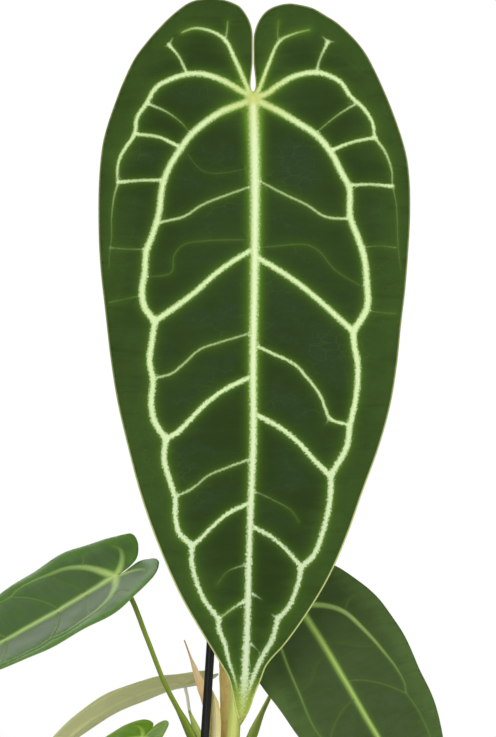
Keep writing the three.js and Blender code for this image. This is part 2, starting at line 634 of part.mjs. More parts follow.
addPiece("pot", potSolid(), MATERIALS.plastic);
addPiece("potting_mix", mixSolid(), MATERIALS.mix);
addPiece("stem", stemSolid(), MATERIALS.stem);
addPiece("stake", stakeSolid(), MATERIALS.plastic);
TIE.levels.forEach((level, i) => addPiece(["tie_lower", "tie_upper"][i], tieSolid(level), MATERIALS.plastic));
for (const { name, solid } of petioles) {
  addPiece(name, solid, MATERIALS.petiole);
}
for (const [name, spec] of Object.entries(BRACTS)) {
  const material = name === "bract_green" ? MATERIALS.greenBract : MATERIALS.bract;
  addPiece(name, tidied(bractSolid(spec).subtract(wasm.Manifold.union(inTheWay))), material);
  inTheWay.push(bractSolid(spec, GAP));
}
const leafFinish = {
  main_leaf: MATERIALS.darkLeaf,
  left_leaf: MATERIALS.leaf,
  right_leaf: MATERIALS.darkLeaf,
  arched_leaf: MATERIALS.oliveLeaf,
  young_leaf: MATERIALS.youngLeaf,
};
for (const [name, pose] of Object.entries(LEAVES)) {
  addPiece(name, leafSolid(pose), leafFinish[name]);
}

export default plant;
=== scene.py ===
"""Potted queen anthurium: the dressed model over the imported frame, in metres.

Leaf tables are in millimetres on the flat plan of the largest leaf: (across, along), from the petiole's
junction, with along growing towards the tip. Each leaf bends that plan into space exactly as its solid does.
"""

import bpy
import bmesh
import math
import random

import numpy as np
from mathutils import Matrix, Vector, geometry, noise


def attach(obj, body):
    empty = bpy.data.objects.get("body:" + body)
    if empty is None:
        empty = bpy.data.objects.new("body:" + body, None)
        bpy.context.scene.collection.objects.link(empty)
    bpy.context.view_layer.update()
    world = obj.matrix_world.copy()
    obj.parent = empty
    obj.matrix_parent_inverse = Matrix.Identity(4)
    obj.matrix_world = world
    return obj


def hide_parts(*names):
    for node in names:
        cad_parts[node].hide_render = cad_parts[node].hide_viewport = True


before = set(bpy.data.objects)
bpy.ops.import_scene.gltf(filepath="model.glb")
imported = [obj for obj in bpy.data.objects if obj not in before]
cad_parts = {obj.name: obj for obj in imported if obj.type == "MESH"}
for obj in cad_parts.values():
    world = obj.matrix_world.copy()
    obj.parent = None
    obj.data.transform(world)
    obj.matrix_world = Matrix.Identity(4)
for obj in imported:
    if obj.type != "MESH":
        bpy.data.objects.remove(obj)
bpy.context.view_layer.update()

MM = 0.001
TAU = 2 * math.pi
GOLDEN_ANGLE = 2.39996
BODY = "root"

# Small helpers


def rgb(red, green, blue):
    """A display colour from 0 to 255 as a linear one with alpha."""
    def linear(c):
        c /= 255
        return c / 12.92 if c <= 0.04045 else ((c + 0.055) / 1.055) ** 2.4
    return (linear(red), linear(green), linear(blue), 1.0)


def lerp(a, b, share):
    return a + (b - a) * share


def smooth(value, low, high):
    t = np.clip((value - low) / (high - low), 0, 1)
    return t * t * (3 - 2 * t)


def unit(v):
    return v / np.maximum(np.linalg.norm(v, axis=-1, keepdims=True), 1e-12)


def on_circle(radius, k, sides):
    return radius * math.cos(k * TAU / sides), radius * math.sin(k * TAU / sides)


def quads(rings, sides, closed=False):
    """Faces between rings that follow one another; closed also joins the last ring to the first."""
    return [(i * sides + k, i * sides + (k + 1) % sides,
             (i + 1) % rings * sides + (k + 1) % sides, (i + 1) % rings * sides + k)
            for i in range(rings if closed else rings - 1) for k in range(sides)]


def ends(rings, sides):
    """The faces that close the first ring and the last."""
    return [tuple(range(sides))[::-1], tuple(range((rings - 1) * sides, rings * sides))]


def joined(parts):
    """Several (points, faces, field) as one."""
    points, faces, field, total = [], [], [], 0
    for p, f, d in parts:
        points.append(p)
        faces += [tuple(i + total for i in face) for face in f]
        field.append(d)
        total += len(p)
    return np.vstack(points), faces, np.vstack(field)


def mesh_object(name, points_mm, faces, material=None):
    mesh = bpy.data.meshes.new(name)
    mesh.from_pydata((np.asarray(points_mm, float) * MM).tolist(), [], [list(f) for f in faces])
    mesh.validate()
    if material:
        mesh.materials.append(material)
    obj = bpy.data.objects.new(name, mesh)
    bpy.context.scene.collection.objects.link(obj)
    return obj


def make_piece(name, points_mm, faces, material, nodes=(), fields=None, flat=False):
    """A mesh piece from points in millimetres that rides on the one body, with vectors kept at its points."""
    obj = mesh_object(name, points_mm, faces, material)
    mesh = obj.data
    for key, values in (fields or {}).items():
        values = np.asarray(values, np.float32)
        layer = mesh.attributes.new(key, "FLOAT_VECTOR", "POINT")
        layer.data.foreach_set("vector", values.ravel())
    mesh.polygons.foreach_set("use_smooth", [not flat] * len(mesh.polygons))
    mesh.update()
    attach(obj, BODY)
    if nodes:
        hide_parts(*nodes)


class Finish:
    """A material made by short calls; a value is a number, a colour or another node's socket."""

    def __init__(self, name, **sockets):
        self.material = bpy.data.materials.new(name)
        self.material.use_nodes = True
        self.tree = self.material.node_tree
        self.tree.nodes.clear()
        out = self.tree.nodes.new("ShaderNodeOutputMaterial")
        self.shader = self.tree.nodes.new("ShaderNodeBsdfPrincipled")
        self.tree.links.new(self.shader.outputs[0], out.inputs[0])
        for key, value in sockets.items():
            self.set(key.replace("_", " "), value)

    def put(self, socket, value):
        if isinstance(value, bpy.types.NodeSocket):
            self.tree.links.new(value, socket)
        else:
            socket.default_value = value

    def set(self, name, value):
        self.put(self.shader.inputs[name], value)

    def node(self, kind, output, **inputs):
        """A new texture or vector node with its named inputs; returns one of its outputs."""
        node = self.tree.nodes.new("ShaderNode" + kind)
        for key, value in inputs.items():
            self.put(node.inputs[key], value)
        return node.outputs[output]

    def field(self, name):
        """The three parts of a vector kept at the mesh's points, and the vector itself."""
        node = self.tree.nodes.new("ShaderNodeAttribute")
        node.attribute_name = name
        vector = node.outputs["Vector"]
        return *self.split(vector), vector

    def split(self, vector):
        node = self.tree.nodes.new("ShaderNodeSeparateXYZ")
        self.put(node.inputs[0], vector)
        return node.outputs

    def scaled(self, vector, factors):
        return self.node("Mapping", 0, Vector=vector, Scale=factors)

    def place(self):
        return self.node("TexCoord", "Object")

    def math(self, kind, a, b=0.0, c=0.0):
        node = self.tree.nodes.new("ShaderNodeMath")
        node.operation = kind
        for socket, value in zip(node.inputs, (a, b, c)):
            self.put(socket, value)
        return node.outputs[0]

    def times(self, a, b):
        return self.math("MULTIPLY", a, b)

    def plus(self, a, b):
        return self.math("ADD", a, b)

    def ramp(self, value, low, high, start=0.0, end=1.0):
        """Smoothly from start, where the value is low, to end, where it is high."""
        node = self.tree.nodes.new("ShaderNodeMapRange")
        node.interpolation_type = "SMOOTHSTEP"
        given = {"Value": value, "From Min": low, "From Max": high, "To Min": start, "To Max": end}
        for key, value in given.items():
            self.put(node.inputs[key], value)
        return node.outputs[0]

    def mix(self, share, a, b):
        node = self.tree.nodes.new("ShaderNodeMix")
        node.data_type = "RGBA"
        self.put(node.inputs["Factor"], share)
        self.put(node.inputs[6], a)
        self.put(node.inputs[7], b)
        return node.outputs[2]

    def paint(self, colour, *coats):
        """Coats of (share, colour), one over the other, on a first colour."""
        for share, coat in coats:
            colour = self.mix(share, colour, coat)
        return colour

    def noise(self, vector, scale, detail=3.0, rough=0.55, warp=0.0):
        return self.node("TexNoise", "Fac", Vector=vector, Scale=scale, Detail=detail, Roughness=rough,
                         Distortion=warp)

    def cells(self, vector, scale, feature):
        node = self.tree.nodes.new("ShaderNodeTexVoronoi")
        node.feature = feature
        self.put(node.inputs["Vector"], vector)
        self.put(node.inputs["Scale"], scale)
        return node.outputs["Distance"]

    def done(self, colour, height, strength, depth_mm):
        """Sets the colour and the bump, and returns the material."""
        self.set("Base Color", colour)
        self.set("Normal", self.node("Bump", 0, Height=height, Strength=strength, Distance=depth_mm * MM))
        return self.material


# Leaf plan

MARGIN_LEFT = [
    (-0.3, -21), (-0.25, -28), (-0.25, -34), (-0.35, -39), (-1.2, -43.8), (-3.6, -49.5), (-7.6, -55),
    (-11.7, -57.4), (-18, -59.5), (-25.4, -60.3), (-31.8, -59.6), (-38.4, -57.3), (-47.8, -50.1),
    (-54.8, -43.1), (-62.1, -34.7), (-69.7, -24.3), (-75.4, -12.5), (-80.3, 0), (-87.6, 24), (-90.1, 45.8),
    (-90.3, 71.6), (-89, 99), (-85.8, 126.4), (-82.2, 156), (-78.7, 177), (-73.3, 200), (-65.5, 229.5),
    (-56, 257), (-42.6, 288), (-28.2, 313.5), (-18.4, 330), (-14.6, 336.8), (-12.5, 345), (-10.4, 355),
    (-8.6, 362), (-7.3, 365.5),
]
MARGIN_RIGHT = [
    (0.3, -21), (0.25, -28), (0.25, -34), (0.6, -38.5), (3, -45.8), (6.4, -51), (9.9, -53.9), (15, -56),
    (21.5, -57.1), (28, -56.2), (35.2, -54.3), (43.2, -49.6), (49.5, -45.5), (59.3, -36.2), (66, -27.5),
    (71.1, -18), (81.1, 5.4), (89.4, 31), (91.4, 45.8), (91.6, 71.6), (88.9, 108), (86, 132), (83.4, 156),
    (79.3, 179.8), (72.7, 203.6), (63.2, 229.4), (54.1, 255), (43.5, 279), (30.4, 301), (17.5, 319),
    (11, 326.2), (7.4, 331.3), (4.5, 339), (1.2, 347), (-1.4, 354.7), (-4.1, 360.5), (-7.3, 365.5),
]
SINUS = [(0.3, -21), (0.75, -17), (1.25, -12.5), (1.5, -9), (1.3, -6.2), (0.6, -4.4), (0, -4)]

# Veins: half widths along the vein, how far its yellow-green halo reaches (0 to 1), points.
MIDRIB = (
    [2.9, 2.55, 2.15, 1.95, 1.85, 1.75, 1.6, 1.8, 1.8, 1.1],
    [1, 1, 0.85, 0.65, 0.48, 0.38, 0.34, 0.3, 0.28],
    [(0, 0), (1, 40), (1, 90), (0, 158), (0, 202), (-1.5, 238), (-2.5, 266), (-4, 320), (-5.4, 345),
     (-7.2, 364)],
)
VEINS = [
    # the strong collecting vein, left then right
    ([1.8, 1.6, 1.5, 1.5, 1.55, 1.7], 0.38,
     [(-1, 0.5), (-3.5, 2), (-18.5, 8), (-29.5, 15.5), (-36.5, 22), (-43, 31), (-49.5, 42), (-53, 53),
      (-55, 68), (-58.5, 80.5), (-62, 90), (-63, 102.5), (-64.5, 113.5), (-63, 123), (-57, 131)]),
    ([1.5, 1.5, 1.5, 1.6], 0.36,
     [(-57, 131), (-58.5, 141.5), (-60, 154), (-58, 165.5), (-59, 178), (-57, 189), (-50.5, 199)]),
    ([1.5, 1.35, 1.25, 1.4], 0.36,
     [(-50.5, 199), (-51.5, 211), (-48.5, 222), (-45, 234), (-45, 244), (-42.5, 253.5), (-35.5, 260.5)]),
    ([1.3, 1.15, 1.1, 1.2], 0.34, [(-35.5, 260.5), (-35.5, 269.5), (-32, 284), (-27.5, 293.5), (-20, 303)]),
    ([1.3, 1.2, 1, 0.7, 0.2], 0.3,
     [(-20, 303), (-20, 308.5), (-16.5, 317.5), (-14.5, 326.5), (-11, 337.5), (-8, 350.5)]),
    ([1.8, 1.6, 1.55, 1.5, 1.55, 1.7], 0.38,
     [(1, 0.5), (5.5, 3), (14.5, 7.5), (26, 14.5), (37, 22), (46, 33), (51.5, 44), (56, 53), (56.5, 70),
      (60.5, 81), (64.5, 93.5), (66, 108.5), (66, 123), (58, 137)]),
    ([1.6, 1.5, 1.4, 1.45, 1.6], 0.36,
     [(58, 137), (58.5, 145), (60.5, 156), (59.5, 174.5), (56, 191), (54, 203.5), (45, 220)]),
    ([1.5, 1.3, 1.4], 0.36, [(45, 220), (44, 236.5), (39.5, 255), (35, 266), (27.5, 273.5)]),
    ([1.3, 1.1, 1.2], 0.34, [(27.5, 273.5), (26.5, 280.5), (21, 295.5), (14.5, 303)]),
    ([1.3, 1.3, 1.3, 1.2, 0.4], 0.3, [(14.5, 303), (11, 315.5), (5.5, 325), (0, 337.5), (-3.5, 349)]),
    # basal veins round the lobes
    ([1.6, 1.35, 1.2, 1, 0.8, 0.55, 0.25, 0.15], [0.36, 0.36, 0.36, 0.34, 0.3, 0.24, 0.1, 0.03],
     [(-1, -1), (-5.5, -3.5), (-18.5, -11), (-29.5, -14.5), (-38.5, -14.5), (-49.5, -11), (-57, -6.5),
      (-63, 3.5), (-68, 11), (-69.5, 21), (-75, 29.5), (-78.5, 36.5), (-79.5, 46), (-79, 49.5), (-81, 57),
      (-82.5, 69.5), (-82.5, 82.5), (-83.5, 90), (-84, 100)]),
    ([1.6, 1.35, 1.2, 1, 0.8, 0.55, 0.25, 0.15], [0.36, 0.36, 0.36, 0.34, 0.3, 0.24, 0.1, 0.03],
     [(1, -0.5), (7.5, -2.5), (14.5, -7.5), (24, -13), (37, -15.5), (46, -13), (52, -9), (57, -1.5),
      (64.5, 5.5), (70, 14.5), (71.5, 23), (77, 31), (81, 42), (81.5, 51.5), (83.5, 62.5), (84.5, 88),
      (86, 101)]),
    ([1.3, 1, 0.7, 0.4], 0.35,
     [(-1.4, -2), (-3, -5.5), (-11, -24), (-16.5, -35), (-25.5, -40.5), (-35, -42), (-42, -39.5)]),
    ([1.3, 0.9, 0.6, 0.3], 0.35, [(1.4, -2), (3.5, -5.5), (9, -20), (15.5, -34), (24, -38.5), (33, -41)]),
    ([0.5, 0.3], 0.2, [(-16.5, -35), (-15.5, -39.5), (-15, -46)]),
    ([0.4, 0.15], 0.2, [(15.5, -34), (14.5, -37), (15, -46)]),
    ([0.7, 0.6, 0.8], 0.2, [(-38.5, -14.5), (-44, -25.5), (-49.5, -32)]),
    ([0.6, 0.3], 0.1, [(-49.5, -32), (-47.5, -36)]),
    ([0.5, 0.2], 0.1, [(-49.5, -32), (-52, -31)]),
    ([0.7, 0.5, 0.8], 0.2, [(37, -15.5), (39.5, -24), (44, -34)]),
    ([0.6, 0.3], 0.1, [(44, -34), (41, -37)]),
    ([0.6, 0.2], 0.1, [(44, -34), (48, -34)]),
    # rungs between the basal and the collecting veins
    ([0.7, 0.35, 0.15], 0.15, [(-62, 3), (-51.5, 7.5), (-41, 15.5), (-36.5, 22)]),
    ([0.6, 0.4, 0.3], 0.15, [(60.5, 3), (49.5, 10), (38.5, 19)]),
    ([0.8, 0.7, 0.9], 0.25, [(-69.5, 21), (-55, 23), (-44, 28.5)]),
    ([0.8, 0.7, 0.9], 0.25, [(71.5, 23), (58, 26), (45.5, 31)]),
    ([0.85, 0.65, 0.8], 0.2, [(-79, 49.5), (-66, 48.6), (-53, 48.5)]),
    ([0.85, 0.65, 0.8], 0.2, [(81.5, 52), (69, 51), (56.5, 51.5)]),
    ([0.3, 0.2, 0.4], 0.1, [(-83.5, 88), (-72, 89), (-63, 89)]),
    ([0.25, 0.1, 0.35], 0.1, [(83, 88), (73, 87), (64, 88)]),
    ([0.2, 0.1, 0.3], 0.1, [(-83.5, 120), (-74, 118), (-65, 116)]),
    ([0.3, 0.1, 0.1], 0.1, [(67, 125), (75, 126), (82.5, 126.5)]),
    # laterals of the left half
    ([0.5, 0.55, 0.7], 0.2, [(-3.5, 53), (-18.5, 58.5), (-29.5, 63), (-40.5, 70), (-53, 73), (-56.5, 74)]),
    ([0.15, 0.12, 0.15, 0.1], 0.1,
     [(-4, 83.5), (-25, 84), (-40.5, 86.5), (-46, 93), (-47.5, 102.5), (-62, 105.5)]),
    ([1.2, 1.2, 1.35, 1.5], 0.36,
     [(-2, 90), (-11, 95.5), (-22, 103.5), (-33, 113.5), (-44, 122), (-57, 131)]),
    ([0.5, 0.5, 0.6], 0.2,
     [(-3.5, 138.5), (-18.5, 143), (-31, 147.5), (-40.5, 156), (-47.5, 161.5), (-57, 164)]),
    ([1.15, 1.1, 1.2, 1.4], 0.32,
     [(-3, 164), (-14.5, 169.5), (-25.5, 177), (-36.5, 188), (-44, 195.5), (-50.5, 199)]),
    ([0.6, 0.5, 0.6], 0.2, [(-2.5, 211), (-14.5, 215.5), (-25.5, 220), (-35, 227.5), (-44, 232)]),
    ([1, 0.95, 0.95, 1.2], 0.3, [(-3, 236.5), (-14.5, 242), (-23.5, 249.5), (-31, 257), (-35.5, 260.5)]),
    ([0.5, 0.2, 0.1], 0.1, [(-4.5, 272), (-14.5, 275.5), (-21, 283)]),
    ([0.9, 0.55, 0.4], 0.3, [(-4.5, 292.5), (-11, 296.5), (-18.5, 302)]),
    ([0.6, 0.15], 0.1, [(-4, 319), (-8, 321)]),
    # laterals of the right half
    ([0.5, 0.55, 0.7], 0.2, [(3.5, 49), (18.5, 57), (31, 63), (42, 70), (54, 71), (56.5, 70.5)]),
    ([0.15, 0.15, 0.12, 0.1], 0.1, [(4.5, 88), (31, 86.5), (38, 90), (47.5, 101), (62.5, 110.5)]),
    ([1.4, 1.3, 1.35, 1.5], 0.36,
     [(3.5, 94.5), (14.5, 101), (27.5, 110), (40.5, 121), (51.5, 131), (58, 137)]),
    ([0.75, 0.7, 0.7, 0.8], 0.25,
     [(3.5, 146), (13, 150.5), (24, 156), (31, 163.5), (38.5, 173.5), (44, 187), (46, 188.5), (55, 191)]),
    ([0.6, 0.15], 0.1, [(44, 187), (42, 190.5)]),
    ([1.3, 1.15, 1.2, 1.4], 0.32, [(3.5, 186), (14.5, 192), (26, 201), (35, 211), (44, 220)]),
    ([0.35, 0.2, 0.1], 0.1, [(1, 229.5), (13, 235), (22, 240.5), (26.5, 247)]),
    ([1, 0.9, 1.1], 0.3, [(1, 250.5), (11, 256), (20, 264), (27.5, 272.5)]),
    ([0.7, 0.2], 0.1, [(0, 289), (5, 292)]),
    ([0.6, 0.15], 0.1, [(-1, 318), (3, 322)]),
    ([0.8, 0.3], 0.1, [(14.5, 303), (11, 300.5)]),
    ([0.7, 0.2], 0.1, [(-5, 330), (-8, 326)]),
    ([0.6, 0.2], 0.1, [(-6, 338), (-3, 334)]),
    ([0.5, 0.2], 0.1, [(-6, 342), (-8.5, 337)]),
    # a very faint one in the left half
    ([0.14, 0.1, 0.12], 0.05, [(-39, 32), (-33, 40), (-27, 44), (-16, 44), (-5.5, 42)]),
]
# The smaller leaves have fewer and softer veins: the midrib, and those of one half, which the other repeats.
SIDE_MIDRIB = ([5.6, 5, 4.6, 4.2, 3.9, 3.5, 3.1, 2.6, 2, 1.4], 1, MIDRIB[2])
SLIM_MIDRIB = ([3.5, 3.2, 2.9, 2.6, 2.4, 2.2, 2, 1.8, 1.5, 1.2], 1, MIDRIB[2])
SIDE_VEINS = [
    ([5.2, 4.6, 3.8, 2.9, 2.1, 1.4, 1.1], 0.3,
     [(1, 0.5), (14, 7), (30, 16), (45, 30), (55, 50), (62, 77), (66, 104), (65, 125), (60, 137)]),
    ([0.9, 0.6, 0.2], 0.2, [(44, 30), (54, 20), (66, 15)]),
    ([1.2, 1.1, 1.1, 1.1], 0.15, [(60, 137), (62, 160), (60, 188), (53, 215)]),
    ([1.4, 1.2, 1.1], 0.3, [(53, 215), (49, 240), (40, 266), (31, 280)]),
    ([1.1, 0.8, 0.4], 0.2, [(31, 280), (24, 302), (8, 338)]),
    ([4.4, 4, 3.2, 2, 0.3], 0.3, [(1, -0.5), (8, -12), (20, -25), (33, -30), (48, -26)]),
    ([1.2, 1, 1, 1.2], 0.15, [(2, 96), (20, 103), (43, 119), (60, 137)]),
    ([0.4, 0.3, 0.2], 0.1, [(2, 50), (22, 57), (42, 68), (58, 72)]),
    ([1.1, 0.9, 1], 0.25, [(2, 180), (20, 188), (38, 202), (53, 215)]),
    ([0.9, 0.7, 0.7], 0.2, [(1, 246), (14, 256), (31, 280)]),
]
# In millimetres: from the junction to the tip, half the width, from the junction to the lobes' ends, and a
# lobe's middle, which its pinch draws towards.
LENGTH, HALF_WIDTH, LOBES = 365.5, 91.0, 58.5
LOBE_MIDDLE = (45, -20)
# The largest step round the slit's end, and where the midrib's own line stops.
POCKET_STEP, MIDRIB_END = 1.2, LENGTH - 4
# How many points are measured at once against a line's pieces.
CHUNK = 4000
# The lattice inside a blade: rows apart, scatter and clearance from other points, as shares of its spacing.
ROW_HEIGHT, SCATTER, CLEARANCE = 0.866, 0.18, 0.7
# Rows of points beside each vein, in its half widths, which are at least NARROWEST.
ROWS_WIDE, ROWS_THIN, WIDE_FROM, NARROWEST = (-1.8, -1, -0.55, 0.55, 1, 1.8), (-1.8, 1.8), 0.9, 0.45
# In millimetres: how far veins that meet grow webs, and how fast a halo fades.
WEB, HALO_REACH = 0.45, 1.3


def side_veins(spread, lower, slim):
    """Both halves' veins, spread sideways; each half's are moved down by lower and thinned by slim."""
    made = []
    for half, side in enumerate((1, -1)):
        for widths, halo, points in SIDE_VEINS:
            placed = []
            for t, s in points:
                down = lower[half] * smooth(s, 10, 90) * (1 - smooth(s, 240, 350))
                placed.append((side * t * lerp(1, spread, smooth(s, 5, 60)), s + down))
            made.append(([slim[half] * w for w in widths], halo, placed))
    return made


def smooth_path(points, step):
    """Points about step apart on a smooth curve through the given ones, and their places from 0 to 1."""
    given = np.asarray(points, float)
    padded = np.vstack([2 * given[0] - given[1], given, 2 * given[-1] - given[-2]])
    made, places = [], []
    for i in range(len(given) - 1):
        p0, p1, p2, p3 = padded[i:i + 4]
        d0, d1, d2 = (max(np.linalg.norm(b - a), 1e-4) ** 0.5 for a, b in ((p0, p1), (p1, p2), (p2, p3)))
        m1 = ((p1 - p0) / d0 - (p2 - p0) / (d0 + d1) + (p2 - p1) / d1) * d1
        m2 = ((p2 - p1) / d1 - (p3 - p1) / (d1 + d2) + (p3 - p2) / d2) * d1
        count = max(1, round(np.linalg.norm(p2 - p1) / step))
        u = np.linspace(0, 1, count, endpoint=False)[:, None]
        made.append(p1 + u * m1 + u * u * (3 * (p2 - p1) - 2 * m1 - m2) + u ** 3 * (2 * (p1 - p2) + m1 + m2))
        places.append((i + u[:, 0]) / (len(given) - 1))
    return np.vstack(made + [given[-1:]]), np.concatenate(places + [[1.0]])


def along_list(values, places):
    """Values spaced evenly along a line, read at places from 0 to 1; a single value holds all along."""
    values = np.atleast_1d(values)
    return np.interp(places, np.linspace(0, 1, len(values)), values)


def lengths_along(path):
    return np.concatenate([[0], np.cumsum(np.linalg.norm(np.diff(path, axis=0), axis=1))])


def outline(step):
    """The margin as one closed line: up the slit on the left, round lobes and halves, and back."""
    left, right = (smooth_path(margin, step)[0] for margin in (MARGIN_LEFT, MARGIN_RIGHT))
    pocket = smooth_path(SINUS, min(step, POCKET_STEP))[0]
    mirrored = pocket * (-1, 1)
    return np.vstack([mirrored[::-1][:-1], left[:-1], right[::-1][:-1], pocket[:-1]])


def nearest(points, line_a, line_b, extras=()):
    """Distance from each point to the nearest of the pieces a-b, and the extras (two ends each) there."""
    best = np.full(len(points), 1e9)
    found = np.zeros((len(points), len(extras)))
    run = line_b - line_a
    for start in range(0, len(points), CHUNK):
        p = points[start:start + CHUNK, None, :]
        share = np.clip(((p - line_a) * run).sum(-1) / np.maximum((run * run).sum(-1), 1e-9), 0, 1)
        away = np.linalg.norm(line_a + share[..., None] * run - p, axis=-1)
        at = away.argmin(1)
        row = np.arange(len(at))
        best[start:start + len(at)] = away[row, at]
        for k, (first, last) in enumerate(extras):
            found[start:start + len(at), k] = lerp(first[at], last[at], share[row, at])
    return best, found


def inside(points, loop):
    """Which points lie within a closed line, by the crossings of a ray to one side."""
    found = np.zeros(len(points), bool)
    for (x1, y1), (x2, y2) in zip(loop, np.roll(loop, -1, axis=0)):
        if y1 != y2:
            spans = (points[:, 1] < y1) != (points[:, 1] < y2)
            found ^= spans & (points[:, 0] < x1 + (points[:, 1] - y1) * (x2 - x1) / (y2 - y1))
    return found


def leaf_plan(step, grid, veins):
    """The flat leaf: points and triangles that follow margin and veins, and the fields at its points."""
    rim = outline(step)
    loop = len(rim)
    points, lines = [rim], []
    edges = [(i, (i + 1) % loop) for i in range(loop)]
    total = loop
    for order, (widths, halo, given) in enumerate(veins):
        line, places = smooth_path(given, step)
        if order == 0:
            line = line[line[:, 1] < MIDRIB_END]
            places = places[:len(line)]
        half = along_list(widths, places)
        lines.append((line, half, along_list(halo, places)))
        edges += [(total + i, total + i + 1) for i in range(len(line) - 1)]
        heading = unit(np.gradient(line, axis=0))
        beside = np.stack([-heading[:, 1], heading[:, 0]], 1) * np.maximum(half, NARROWEST)[:, None]
        added = [line] + [line + beside * k for k in (ROWS_WIDE if half.max() > WIDE_FROM else ROWS_THIN)]
        points += added
        total += len(line) * len(added)
    fixed = np.vstack(points)
    columns = np.arange(-HALF_WIDTH, HALF_WIDTH, grid)
    rows = np.arange(-LOBES, LENGTH, grid * ROW_HEIGHT)
    lattice = np.array([(x + (j % 2) * grid / 2, y) for j, y in enumerate(rows) for x in columns])
    lattice = lattice + np.random.default_rng(7).uniform(-SCATTER, SCATTER, lattice.shape) * grid
    # Lattice points too near a fixed one are dropped, and later the triangles outside the margin.
    bucket = set(map(tuple, np.floor(fixed / (grid * CLEARANCE)).astype(int)))
    keys = np.floor(lattice / (grid * CLEARANCE)).astype(int)
    everything = np.vstack([fixed, lattice[[tuple(k) not in bucket for k in keys]]])
    made = geometry.delaunay_2d_cdt([Vector(p) for p in everything], edges, [list(range(loop))], 1, 1e-4)
    flat = np.array([tuple(v) for v in made[0]])
    triangles = np.array([f for f in made[2] if len(f) == 3])
    a, b, c = (flat[triangles[:, k]] for k in range(3))
    twice = (b[:, 0] - a[:, 0]) * (c[:, 1] - a[:, 1]) - (b[:, 1] - a[:, 1]) * (c[:, 0] - a[:, 0])
    triangles[twice < 0] = triangles[twice < 0][:, ::-1]
    triangles = triangles[np.abs(twice) > 1e-6]
    triangles = triangles[inside(flat[triangles].mean(1), rim)]
    used = np.unique(triangles)
    renumbered = np.zeros(len(flat), int)
    renumbered[used] = np.arange(len(used))
    flat = flat[used]
    return flat, renumbered[triangles], leaf_fields(flat, lines, rim)


def leaf_fields(flat, lines, rim):
    """At each point, in millimetres: distance to the nearest vein's edge, and half its width.

    Veins that meet grow webs. There is also the halo's strength, the distance to the margin, and the distance
    across the midrib in half widths.
    """
    edge = np.full(len(flat), 1e9)
    width, glow, webbed = (np.zeros(len(flat)) for _ in range(3))
    for line, half, halo in lines:
        away, there = nearest(flat, line[:-1], line[1:], [(half[:-1], half[1:]), (halo[:-1], halo[1:])])
        beyond = away - there[:, 0]
        closer = beyond < edge
        edge[closer] = beyond[closer]
        width[closer] = there[closer, 0]
        glow = np.maximum(glow, there[:, 1] * np.exp(-beyond / HALO_REACH))
        webbed += np.exp(-beyond / WEB)
    middle, half, _ = lines[0]
    mid_away, mid_half = nearest(flat, middle[:-1], middle[1:], [(half[:-1], half[1:])])
    rim_away, _ = nearest(flat, rim, np.roll(rim, -1, axis=0))
    near = edge < 12
    halo = np.clip(glow * np.exp(np.minimum(edge, 40) / HALO_REACH), 0, 1)
    edge[near] = -WEB * np.log(webbed[near])
    return {
        "edge": edge, "width": width, "halo": halo, "rim": rim_away,
        "mid": mid_away / np.maximum(mid_half[:, 0], 0.5),
    }


# Leaf poses, as in the solids

LEAVES = {
    "main_leaf": dict(
        scale=1, junction=(18, -10, 534), axis=(0, 0, -1), face=(0, -1, 0), slope=(0.3, -0.12),
        fold=(0.09, 0.45), droop=15, wave=1.6, waves=6.5),
    "left_leaf": dict(
        scale=0.42, junction=(-62.3, -15, 253.6), axis=(-0.84, -0.346, -0.418), face=(-0.207, -0.507, 0.837),
        slope=(-0.1, 0), fold=(0.33, 0.17), droop=11.6, curl=(13, 0), pinch=(0.3, 0), wave=1.6, waves=4),
    "right_leaf": dict(
        scale=0.535, junction=(44.3, 34, 234.1), axis=(0.458, -0.476, -0.75), face=(0.165, -0.784, 0.598),
        slope=(0.09, -0.11), fold=(0.15, 0.05), droop=9.5, wave=1.6, waves=4.5),
    "arched_leaf": dict(
        scale=0.317, junction=(-22.7, 36, 187.3), axis=(-0.923, 0.205, -0.326), face=(-0.267, 0.267, 0.926),
        slope=(0.32, -0.68), fold=(0.16, 0.16), droop=8.8, curl=(13.5, 13.5), wave=1.6, waves=3),
    "young_leaf": dict(
        scale=0.252, junction=(-46.2, -24, 160.4), axis=(-0.557, -0.71, -0.43), face=(-0.32, -0.29, 0.9),
        slope=(-0.1, -0.1), fold=(0.33, 0.25), droop=9, wave=1.6, waves=3),
}

# In millimetres: how high ribs stand on top and under, and half the blade's thickness inside and at the rim.
RIB_TOP, RIB_UNDER, MIDRIB_TOP, MIDRIB_UNDER = 0.42, 0.7, 1.15, 1.7
BLADE_HALF, MARGIN_HALF = 0.42, 0.22
# How far apart the patterns of a blade's two faces lie.
FACES_APART = 40


